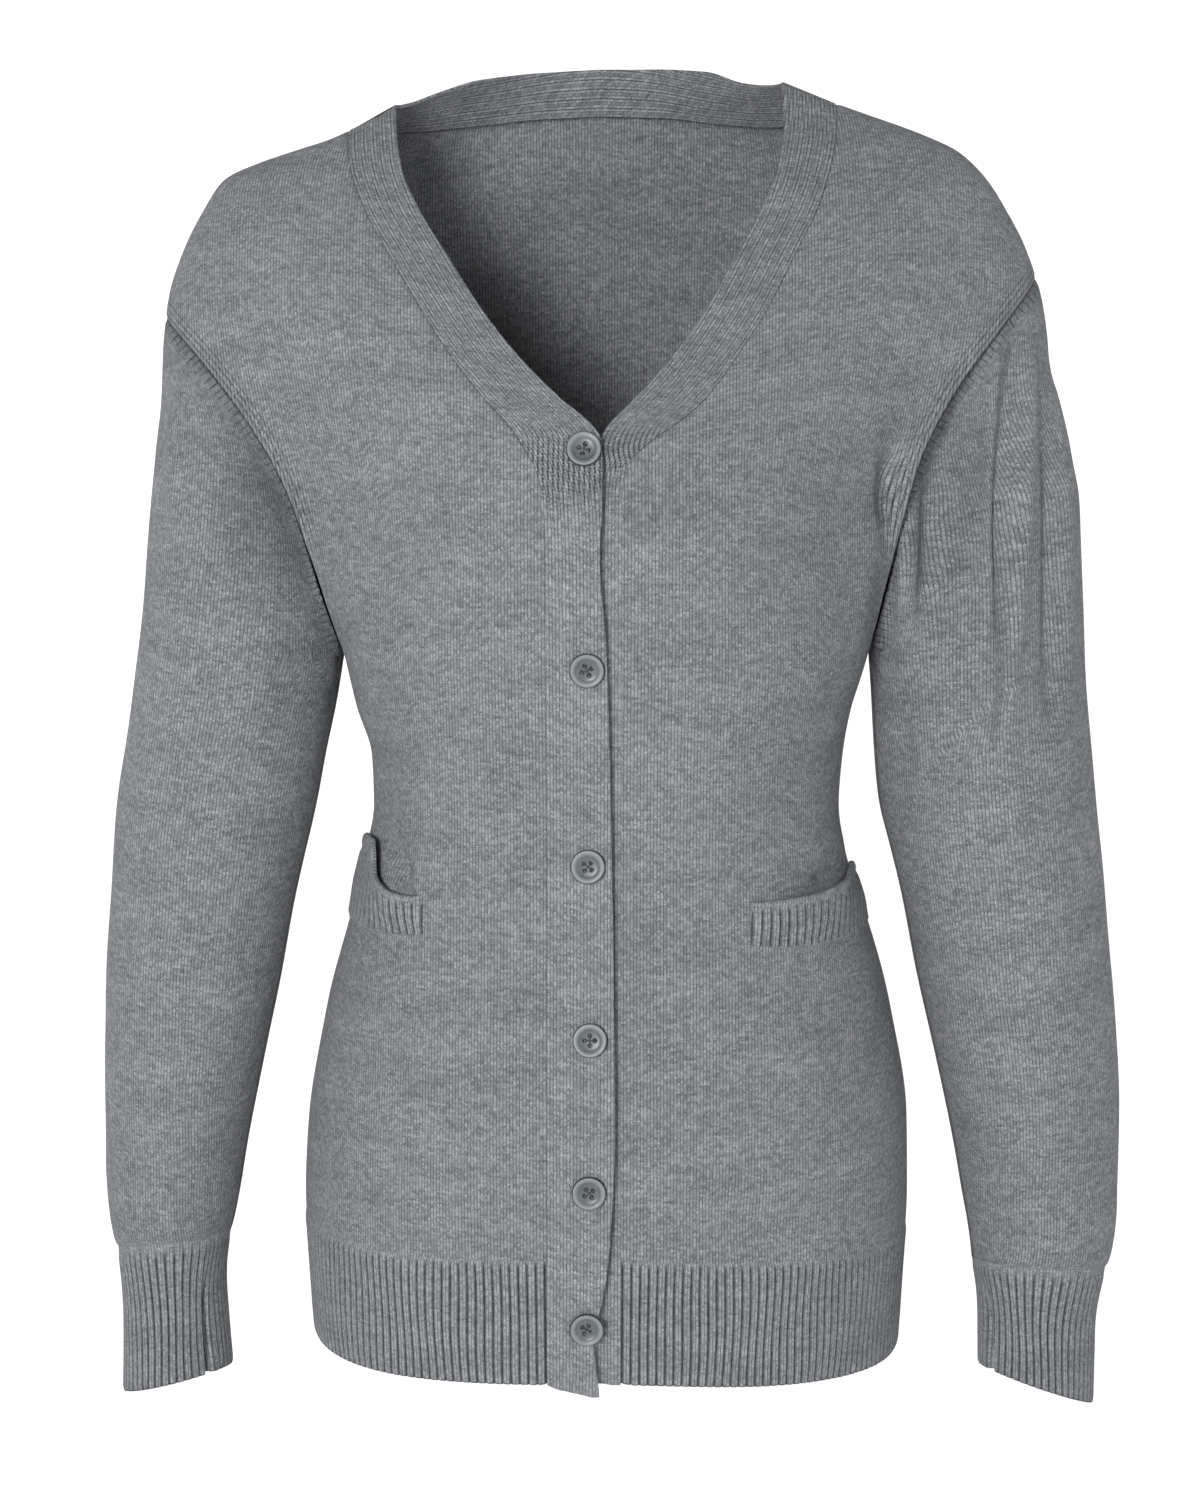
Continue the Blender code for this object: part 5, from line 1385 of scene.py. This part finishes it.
def ribbed_strip(
    name, cloth, pitch, node, raised=hung_ribs, outward=sunk, over=False, ring=False, seams=(), sway=0.0
):
    """A strip of ribs. cloth gives points and normals for shares along the strip and down it,
    raised says how far the ribs stand up, outward where their grooves lie, and over that the
    strip lies on another sheet."""
    down = RIB_ROWS[:, None]
    ribs, at, shares, high = rib_grid(cloth, pitch, sway)
    points, normals = cloth(shares, down)
    if ring:
        points[:, -1], normals[:, -1] = points[:, 0], normals[:, 0]
    up = raised(down) * np.ones_like(shares)
    # the outer face turns in a little at the seam and at the free edge
    edge_in = 0.0004 * soft_step(1 - down, 0.97, 1.0) * up + 0.0006 * soft_step(down, 0.97, 1.0)
    base = outward(shares, down)
    lowest = np.maximum(base - RIB_WALL, 0.0001) if over else base - RIB_WALL
    outer = points + normals * (base + RIB_HEIGHT * high * up - edge_in)[..., None]
    inner = points + normals * (lowest + 0.4 * edge_in)[..., None]
    # three wales to a rib, and a groove at each whole number of ribs
    u = np.broadcast_to((at * 3 + 0.5) * WALE, up.shape)
    v = -run(points, 0)
    along, away = near_seams(points, seams) if seams else (u, np.full(u.shape, 0.02))
    grooves = (np.broadcast_to(at, up.shape), up)
    piece = cloth_sheet(name, outer, inner, (u, v), (along, away), ring=ring, rib=grooves)
    finish_piece(piece, RIB_KNIT, "rib", node)
    declare_cloth(points)
    print("ribs", ribs)


print("a rib is", 3 * WALE, "wide in the cloth map")

# %% The hem
def hem_strip(stretches):
    """Stretches are a side, a face, and where they start and end from the centre to the side."""

    def strip(share, down):
        share, down = np.broadcast_arrays(share, down)
        points = np.zeros((*share.shape, 3))
        normals = np.zeros((*share.shape, 3))
        for k, (side, face, start, end) in enumerate(stretches):
            inside = (share * len(stretches) >= k) & (share * len(stretches) <= k + 1)
            local = np.clip(share * len(stretches) - k, 0, 1)
            first, last = (math.asin(at ** (1 / TURN_POWER)) for at in (start, end))
            across = np.abs(np.sin(first + (last - first) * local)) ** TURN_POWER
            z = hem_seam(side, face, across) - HEM_HEIGHT * down
            x = seam_x(side, z) * across
            made = bent(side, face, "body", x, z)
            points[inside], normals[inside] = made[0][inside], made[1][inside]
        return points, normals

    return strip


# the edge map darkens each hem's seams and its free edge with painted shade
for side in SIGN:
    band_seam = band_x(side, "seam", np.array(HEM_SEAM_Z - HEM_HEIGHT / 2))
    start = float((band_seam - HEM_TUCK) / seam_x(side, np.array(hem_seam(side, "front", 1.0))))
    strip = hem_strip([(side, "front", start, 1.0)])
    name, node, seams = "hem_" + side + "_ribs", "hem_rib_" + side, ("last_column", "last_row")
    ribbed_strip(name, strip, HEM_PITCH, node, outward=tucked, seams=seams, sway=HEM_SWAY)
strip = hem_strip([("right", "back", 1.0, 0.0), ("left", "back", 0.0, 1.0)])
seams = ("first_column", "last_column", "last_row")
ribbed_strip("hem_back_ribs", strip, HEM_PITCH, "hem_rib_back", seams=seams, sway=HEM_SWAY)

# %% The cuffs
CUFF_FOLDS = {"right": 0.384, "left": 0.424}  # where a cuff lies folded in, as a share of a turn
CUFF_FOLD_DEPTH = 0.0060
CUFF_FOLD_WIDTH = 0.009  # as a share of a turn


def cuff_starts(down):
    """A cuff's ribs grow out of the sleeve more slowly than those of the hem."""
    return soft_step(down, 0.0, 0.12)


def cuff_strip(side):
    """The cloth of a cuff, all round the wrist."""

    def ring(turn, down):
        turn, down = np.broadcast_arrays(turn, down)
        x, z = cuff_place(side, turn, down)
        front = surface(side, "front", "cuff", x, z)
        back = surface(side, "back", "cuff", x, z)
        is_front = (turn <= 0.5)[..., None]
        points, normals = (np.where(is_front, front[k], back[k]) for k in (0, 1))
        in_fold = np.exp(-(((turn - CUFF_FOLDS[side]) / CUFF_FOLD_WIDTH) ** 2))
        folded = CUFF_FOLD_DEPTH * in_fold * soft_step(down, 0.2, 0.8)
        return points + normals * (flare(down, normals) - folded[..., None]), normals

    return ring


# the edge map darkens each cuff's free edge, as the painted shadow under its roll
for side in SIGN:
    name, node, seams = "cuff_" + side + "_ribs", "cuff_" + side, ("last_row",)
    strip = cuff_strip(side)
    ribbed_strip(name, strip, CUFF_PITCH, node, cuff_starts, ring=True, seams=seams, sway=CUFF_SWAY)

# %% [markdown]
# ## Pockets
# A slit in each front opens into a bag behind it. Its lower edge is finished with a ribbed welt,
# sewn down at its foot and its front end, while its mouth stands away from the body.

# %% The cloth of a welt
WELT_OUT = 0.0022  # from the front to the top of a welt's wall at its mouth
WELT_BASE = 0.0005


def welt_ribs(down):
    """A welt's ribs stop short of its plain mouth, and of its foot."""
    return soft_step(down, 0.14, 0.26) * (1 - soft_step(down, 0.95, 1.0))


def welt_rise(share, down):
    """How far a welt stands off the front: flat at its foot and front end, rolled at its mouth."""
    foot = soft_step(1 - down, 0.0, 0.5)
    end = 0.35 + 0.65 * soft_step(share, 0.0, 0.08)
    near = np.clip(down / 0.15, 0, 1)
    bead = 0.0011 * np.sqrt(np.clip(1 - (2 * near - 1) ** 2, 0, 1))
    roll = bead - 0.0006 * (1 - soft_step(down, 0.0, 0.03))
    return WELT_BASE + (WELT_OUT - WELT_BASE) * foot * end + roll * end


def welt_strip(side):
    """The cloth of a welt, from its mouth down to its foot."""
    foot, mouth = columns(WELTS), columns(MOUTHS)

    def strip(share, down):
        share, down = np.broadcast_arrays(share, down)
        first, last = (
            np.stack([smooth(share, t["along"], t[side]), smooth(share, t["along"], t[side + "_z"])], -1)
            for t in (mouth, foot)
        )
        places = first + (last - first) * down[..., None]
        z = places[..., 1]
        x = np.minimum(places[..., 0], seam_x(side, z) * 0.9985)
        points, normals = surface(side, "front", "body", x, z)
        out = 1.4 * smooth(share, mouth["along"], mouth[side + "_out"]) * (1 - down) ** 1.5
        if side == "left":
            out = out * (1 - soft_step(share, 0.78, 0.97))
        return points + normals * out[..., None], normals

    return strip


print("welt height at its mouth", round(float(welt_rise(np.array(0.5), np.array(0.0))), 4))

# %% Bags and welts of both pockets
BAG_GAP = 0.0002  # more room between the front and its bag
BAG_WALL = 0.0012


def make_bag(side):
    """A pocket's bag behind its front, on the front's own rows and columns."""
    grid = front_grid(side)
    shares, shared = grid["shares"], grid["shared"]
    rows = (ROW_STEPS >= BAG_ROWS[0]) & (ROW_STEPS <= BAG_ROWS[1])
    kept = (shares >= shared[SLIT_FIRST_COLUMN[side] - 1]) & (shares <= shared[FRONT_COLUMNS - 1])
    points, normals = (grid[key][rows][:, kept] for key in ("points", "normals"))
    outer = points - normals * (BAG_DEPTH + BAG_GAP)
    inner = outer - normals * BAG_WALL
    uv, seam_uv = (run(outer, 1), run(outer, 0)), near_seams(outer, ("first_row",))
    name = "pocket_bag_" + side
    piece = cloth_sheet(name + "_knit", outer, inner, uv, seam_uv)
    finish_piece(piece, KNIT, "knit", name)
    declare_cloth(outer)


for side in SIGN:
    name, node = "welt_" + side + "_ribs", "pocket_welt_" + side
    ribbed_strip(name, welt_strip(side), WELT_PITCH, node, welt_ribs, welt_rise, over=True)
    make_bag(side)

# %% [markdown]
# ## Bands
# The front edge and the neck are finished with a plain knitted band, doubled and turned, so its
# free edge is a soft roll. Its wales follow the neckline. The right band laps over the left one.

# %% The lines of a front band
# columns across a band, closer together at its seam and most of all at its rolled edge
BAND_SHARES = np.concatenate(
    [[0, 0.03, 0.08], np.linspace(0.15, 0.85, 8), [0.90, 0.935, 0.96, 0.978, 0.990, 0.997, 1.0]]
)
# where the free edge of the upper band swings out, how far, and over what height
BAND_SWINGS = (("z", "out", "tall"), (-0.622, 0.0040, 0.018), (-0.700, 0.0048, 0.018))
UNDER_LAP_DIP = 0.0018  # how far the lower band is pressed in under the upper one's edge
BAND_MOUTH_Z = HEM_SEAM_Z - HEM_HEIGHT - 0.001  # the foot of both bands


def rolled(share, radius, width):
    """How far an edge has turned in, with a round edge of that radius at share 1."""
    near = np.clip(1 - (1 - share) * width / radius, 0, 1)
    return radius * (1 - np.sqrt(np.clip(1 - near**2, 0, 1)))


def band_places(side):
    """Where the points of a front band lie, seen from the front."""
    seam_z, edge_z = band_rows(side, "seam"), band_rows(side, "edge")
    below = np.linspace(BAND_MOUTH_Z, HEM_SEAM_Z, 20)[:-1]
    seam_z, edge_z = np.concatenate([below, seam_z]), np.concatenate([below, edge_z])
    seam = np.stack([band_x(side, "seam", seam_z), seam_z], axis=1)
    edge = np.stack([band_x(side, "edge", edge_z), edge_z], axis=1)
    seam[-1], edge[-1] = crossing(side, "seam"), crossing(side, "edge")
    if side == "right":
        for z, out, tall in BAND_SWINGS[1:]:
            edge[:, 0] += out * np.exp(-(((edge_z - z) / tall) ** 2))
    places = seam[:, None] + (edge - seam)[:, None] * BAND_SHARES[None, :, None]
    if side == "right":
        # the foot of the upper band hangs lower towards its free edge
        tip = 0.005 * np.interp(BAND_SHARES, (0, 0.40, 0.85, 1.0), (0, 0.4, 1.0, 0.8))
        fade = np.clip(1 - (seam_z - BAND_MOUTH_Z) / 0.025, 0, 1)
        places[..., 1] -= fade[:, None] * tip[None, :]
    return places


print("band grid", band_places("right").shape[:2])

# %% The front bands
def band_lift(side, places):
    """How far a band stands off the body: the upper one rides over the lower one."""
    x, z = places[..., 0], places[..., 1]
    if side == "right":
        fade = 1 - np.clip((z - LIFT_FULL_Z) / (LIFT_NONE_Z - LIFT_FULL_Z), 0, 1)
        across = np.interp(BAND_SHARES, (0, 0.2, 0.8, 1.0), (0.15, 1.0, 1.0, 1.55))
        return LAP_LIFT * fade * across[None, :]
    past_lap = x + band_x("right", "edge", z)
    return -UNDER_LAP_DIP * np.exp(-((past_lap / 0.004) ** 2)) * soft_step(-z, 0.170, 0.185)


def make_front_band(side):
    """One front band, from the foot of the hem up to the shoulder."""
    places = band_places(side)
    points, normals = surface(side, "front", "body", places[..., 0], places[..., 1])
    lift = band_lift(side, places)
    turned = rolled(BAND_SHARES[None, :], BAND_WALL / 2, run(points, 1)[:, -1:])
    foot = rolled(np.clip(1 - run(points, 0) / 0.02, 0, 1), BAND_WALL / 2, 0.02)
    turned = np.maximum(turned, foot)
    outer = points + normals * (lift - turned)[..., None]
    inner = points + normals * (lift - BAND_WALL + 0.6 * turned)[..., None]
    u, v = SIGN[side] * run(points, 1), run(points, 0)
    # wales are counted from the centre below the neck, and from the free edge along it
    from_edge = np.linalg.norm(points - points[:, -1:], axis=-1)
    on_neck = soft_step(places[..., 1], -0.184, -0.163)
    wales_at = places[..., 0] * (1 - on_neck) + from_edge * on_neck
    # the gaps between the pulled wales get painted shade
    wales = (wales_at / PULL_PITCH, opened(side, places[..., 1]))
    edge_uv = (v, np.full(v.shape, 0.02))
    name = "front_band_" + side
    piece = cloth_sheet(name + "_knit", outer, inner, (u, v), edge_uv, rib=wales)
    finish_piece(piece, BAND_KNIT, "band", name)
    declare_cloth(points)


for side in SIGN:
    make_front_band(side)

# %% The back neck's band
def make_back_band():
    """The band round the back neck, from shoulder to shoulder."""
    halves = []
    for side in ("right", "left"):
        across = np.sin(np.linspace(0, math.pi / 2, 33))
        seam, edge = back_neck(side, across, "seam"), back_neck(side, across, "edge")
        share = BAND_SHARES[:, None, None]
        places = seam[None] * (1 - share) + edge[None] * share
        halves.append(surface(side, "back", "body", places[..., 0], places[..., 1]))
    points, normals = joined(*halves)
    turned = rolled(BAND_SHARES[:, None], BAND_WALL / 2, run(points, 0)[-1:])
    outer = points - normals * turned[..., None]
    inner = points - normals * (BAND_WALL - 0.6 * turned)[..., None]
    u, v = run(points, 0), run(points, 1)
    # the gaps between the pulled wales get painted shade
    wales = (u / PULL_PITCH, np.full(u.shape, NECK_PULL))
    edge_uv = near_seams(points, ("first_row", "first_column", "last_column"))
    piece = cloth_sheet("neck_band_back_knit", outer, inner, (u, v), edge_uv, rib=wales)
    finish_piece(piece, BAND_KNIT, "band", "neck_band_back")
    declare_cloth(points)


make_back_band()

# %% [markdown]
# ## Buttons
# A shirt-like button of moulded plastic: a flat disc with a raised round rim, a dished middle and
# four holes. It is turned as one profile, as on a lathe, the holes are cut with a Boolean, and it
# is copied to its six places. Thread crosses the dish between the holes.

# %% One button
def turned_button():
    """The disc without its holes, turned from its profile."""
    rim, dish = BUTTON_HEIGHT, 0.0013
    profile = (
        ("r", "h"),
        (0.0000, 0.0000),
        (0.0060, 0.0000),
        (0.0074, 0.0005),
        (0.0084, 0.0013),
        (0.0087, 0.0020),
        (0.0084, 0.0027),
        (0.0078, rim - 0.0001),
        (0.0072, rim),
        (0.0066, rim - 0.0002),
        (0.0060, rim - 0.0008),
        (0.0054, dish + 0.0003),
        (0.0044, dish),
        (0.0020, dish - 0.0001),
        (0.0000, dish - 0.0001),
    )
    mesh = bpy.data.meshes.new("button_master")
    build = bmesh.new()
    line = [build.verts.new((r, 0, h)) for r, h in profile[1:]]
    for pair in zip(line, line[1:]):
        build.edges.new(pair)
    build.to_mesh(mesh)
    build.free()
    button = bpy.data.objects.new("button_master", mesh)
    bpy.context.collection.objects.link(button)
    select_alone(button)
    bpy.ops.object.mode_set(mode="EDIT")
    bpy.ops.mesh.select_all(action="SELECT")
    bpy.ops.mesh.spin(steps=56, angle=2 * math.pi, center=(0, 0, 0), axis=(0, 0, 1))
    bpy.ops.mesh.select_all(action="SELECT")
    bpy.ops.mesh.remove_doubles(threshold=1e-5)
    bpy.ops.mesh.normals_make_consistent(inside=False)
    bpy.ops.object.mode_set(mode="OBJECT")
    turned = button.data.uv_layers.new(name="turned")
    for loop in button.data.loops:
        place = button.data.vertices[loop.vertex_index].co
        turned.data[loop.index].uv = (math.hypot(place.x, place.y), place.z)
    return button


master = turned_button()
print("button as turned, points", len(master.data.vertices))

# %% Four holes
HOLE_AT = 0.0025  # each hole's distance from the middle
HOLE_RADIUS = 0.00125
THREAD_RADIUS = 0.00028
PLUG_RADIUS = 0.00085  # the strands together, where they fill a hole


def drill(button):
    """Cuts the four holes."""
    for k in range(4):
        angle = math.pi / 4 + k * math.pi / 2
        place = (HOLE_AT * math.cos(angle), HOLE_AT * math.sin(angle), 0.001)
        bpy.ops.object.select_all(action="DESELECT")
        bpy.ops.mesh.primitive_cylinder_add(vertices=20, radius=HOLE_RADIUS, depth=0.006, location=place)
        bit = bpy.context.object
        cut = button.modifiers.new("hole", "BOOLEAN")
        cut.operation = "DIFFERENCE"
        cut.object = bit
        bpy.context.view_layer.objects.active = button
        bpy.ops.object.modifier_apply(modifier="hole")
        bpy.data.objects.remove(bit)


drill(master)
print("button faces", len(master.data.polygons))

# %% Moulded plastic and thread
def button_finish():
    """Moulded plastic, with painted light on its raised rim, painted shade in its dish and a painted
    shadow round its outer side.
    """
    made, tree, shader = new_finish("grey_button_plastic", 0.42, specular=0.5)
    shader.inputs["Coat Weight"].default_value = 0.12
    shader.inputs["Coat Roughness"].default_value = 0.25
    place = tree.nodes.new("ShaderNodeTexCoord").outputs["Object"]
    radius, _ = uv_values(tree, "turned")
    painted_rim_light_and_shadow = radius.rising(0.0054, 0.0064) - radius.rising(0.0078, 0.0083) * 1.5
    tone = noise(tree, place, 240.0, 3.0) * 0.25 + painted_rim_light_and_shadow * 0.5 + 0.35
    # from dark to light: painted shadow round the outer side, painted shade in the dish, painted light
    # on the rim
    greys = (
        (0.05, (0.014, 0.016, 0.017, 1)),
        (0.30, (0.070, 0.082, 0.087, 1)),
        (0.90, (0.178, 0.194, 0.200, 1)),
    )
    colour = ramp(tree, tone, greys)
    tree.links.new(colour, shader.inputs["Base Color"])
    relief(tree, shader, noise(tree, place, 1500.0), 0.0001, 0.05)
    return made


def thread_finish():
    """Thread painted dark, as the shade in the button's holes that it fills, a little lighter along its
    strands.
    """
    made, tree, shader = new_finish("thread_dark_as_painted_shade", 0.7, sheen=0.1)
    place = tree.nodes.new("ShaderNodeTexCoord").outputs["Object"]
    strands = noise(tree, place, 3500.0) + 0.5
    colour = ramp(tree, strands, [(0.2, (0.020, 0.022, 0.025, 1)), (0.8, (0.080, 0.085, 0.092, 1))])
    tree.links.new(colour, shader.inputs["Base Color"])
    return made


BUTTON_PLASTIC, THREAD = button_finish(), thread_finish()
print("finishes", BUTTON_PLASTIC.name, THREAD.name)

# %% The thread
def thread_strand(start, end, arch, thick=THREAD_RADIUS):
    """One strand over the dish, as a short tube between two places."""
    curve = bpy.data.curves.new("strand", "CURVE")
    curve.dimensions = "3D"
    curve.bevel_depth = thick
    curve.use_fill_caps = True
    curve.bevel_resolution = 2
    spline = curve.splines.new("POLY")
    steps = 9
    spline.points.add(steps - 1)
    for k in range(steps):
        t = k / (steps - 1)
        place = start.lerp(end, t)
        place.z = 0.0005 + arch * math.sin(math.pi * t) ** 0.5
        spline.points[k].co = (*place, 1.0)
    return bpy.data.objects.new("strand", curve)


def make_thread(name):
    """Two strands crossed over the dish, and a plug of thread in each hole, whose dark finish paints the
    hole's shade.
    """
    strands = []
    for k in range(2):
        angle = k * math.pi / 2
        start = Vector((HOLE_AT * math.cos(angle), HOLE_AT * math.sin(angle), 0))
        strands.append(thread_strand(start, -start, 0.0011 + 0.0004 * k))
        for hole in (start, -start):
            # a thick dark plug fills each hole, as painted shade inside it
            strands.append(thread_strand(hole * 0.93, hole * 1.07, 0.0, thick=PLUG_RADIUS))
    bpy.ops.object.select_all(action="DESELECT")
    for strand in strands:
        bpy.context.collection.objects.link(strand)
        strand.select_set(True)
    bpy.context.view_layer.objects.active = strands[0]
    bpy.ops.object.convert(target="MESH")
    bpy.ops.object.join()
    thread = bpy.context.object
    thread.name = name
    return thread


print("thread radius", THREAD_RADIUS)

# %% Sew on six buttons
def sew_buttons():
    """Six copies of the button, each turned its own way, with their thread."""
    for k, (x, z, turn) in enumerate(BUTTONS[1:]):
        point, normal = surface("right", "front", "body", np.array(-x), np.array(z))
        out = Vector(normal)
        seat = Vector(point) + out * (LAP_LIFT + BUTTON_GAP)
        to_seat = Matrix.Translation(seat) @ out.to_track_quat("Z", "Y").to_matrix().to_4x4()
        button = bpy.data.objects.new(f"button_{k + 1}_moulded", master.data.copy())
        bpy.context.collection.objects.link(button)
        button.data.transform(to_seat @ Matrix.Rotation(turn, 4, "Z"))
        finish_piece(button, BUTTON_PLASTIC, "button", f"button_{k + 1}", sharp=35)
        thread = make_thread(f"button_{k + 1}_thread")
        thread.data.transform(to_seat @ Matrix.Rotation(turn + math.pi / 4, 4, "Z"))
        finish_piece(thread, THREAD, "button")


sew_buttons()
bpy.data.objects.remove(master)
print("buttons sewn", len(BUTTONS) - 1)

# %% [markdown]
# ## Studio
# A plain pale floor curves up all round. One soft lamp lights the cardigan from the front, on the
# wearer's right, with a weak one on the left so that the shaded folds still show. Two more light
# the wall behind. The camera looks a little down from the front.

# %% Floor
bpy.ops.object.select_all(action="DESELECT")
bpy.ops.mesh.primitive_circle_add(vertices=96, radius=3.2, fill_type="NGON", location=(0, 0, -1.15))
floor = bpy.context.object
floor.name = "floor"
bpy.ops.object.mode_set(mode="EDIT")
bpy.ops.mesh.select_all(action="SELECT")
# each ring of the wall rises by more and grows by less than the one inside it
for rise, grow in ((0.06, 1.10), (0.20, 1.09), (0.45, 1.07), (0.90, 1.04), (2.2, 1.02)):
    bpy.ops.mesh.select_mode(type="EDGE")
    bpy.ops.mesh.region_to_loop()
    bpy.ops.mesh.extrude_edges_move(TRANSFORM_OT_translate={"value": (0, 0, rise)})
    bpy.ops.transform.resize(value=(grow, grow, 1))
    build = bmesh.from_edit_mesh(floor.data)
    top = max(v.co.z for v in build.verts)
    for edge in build.edges:
        edge.select = all(abs(v.co.z - top) < 1e-4 for v in edge.verts)
    bmesh.update_edit_mesh(floor.data)
bpy.ops.object.mode_set(mode="OBJECT")
bpy.ops.object.transform_apply(location=True, rotation=True, scale=True)
bpy.ops.object.shade_smooth()
print("floor rings", len(floor.data.vertices))

# %% Floor's paint, light and camera
paint, _, paint_shader = new_finish("pale_floor", 0.9)
paint_shader.inputs["Base Color"].default_value = (0.90, 0.90, 0.90, 1)
floor.data.materials.append(paint)


def soft_lamp(name, place, target, size, power):
    """A lamp with a square face, turned towards its target."""
    lamp = bpy.data.lights.new(name, "AREA")
    lamp.shape = "RECTANGLE"
    lamp.size, lamp.size_y = size, size
    lamp.energy = power
    holder = bpy.data.objects.new(name, lamp)
    bpy.context.collection.objects.link(holder)
    holder.location = place
    holder.rotation_euler = (Vector(target) - Vector(place)).to_track_quat("-Z", "Y").to_euler()


soft_lamp("front_lamp", (-0.70, -2.25, 0.05), (0, 0, -0.35), 0.7, 54)
soft_lamp("side_lamp", (1.5, -1.8, -0.3), (0, 0, -0.4), 0.7, 9)
soft_lamp("wall_lamp_right", (-1.9, 0.9, 1.0), (-0.4, 3.3, 0.0), 1.4, 62)
soft_lamp("wall_lamp_left", (1.9, 0.9, 1.0), (0.4, 3.3, 0.0), 1.4, 62)
world = bpy.data.worlds.new("studio")
bpy.context.scene.world = world
world.use_nodes = True
world.node_tree.nodes["Background"].inputs[0].default_value = (1, 1, 1, 1)
world.node_tree.nodes["Background"].inputs[1].default_value = 0.12
bpy.context.scene.view_settings.view_transform = "Standard"

lens = bpy.data.cameras.new("camera")
lens.lens = 52.8
lens.sensor_width = 36
camera = bpy.data.objects.new("camera", lens)
bpy.context.collection.objects.link(camera)
camera.location = (0, -1.18, -0.173)
camera.rotation_euler = (math.radians(82), 0, 0)
bpy.context.scene.camera = camera
print("camera", tuple(camera.location))
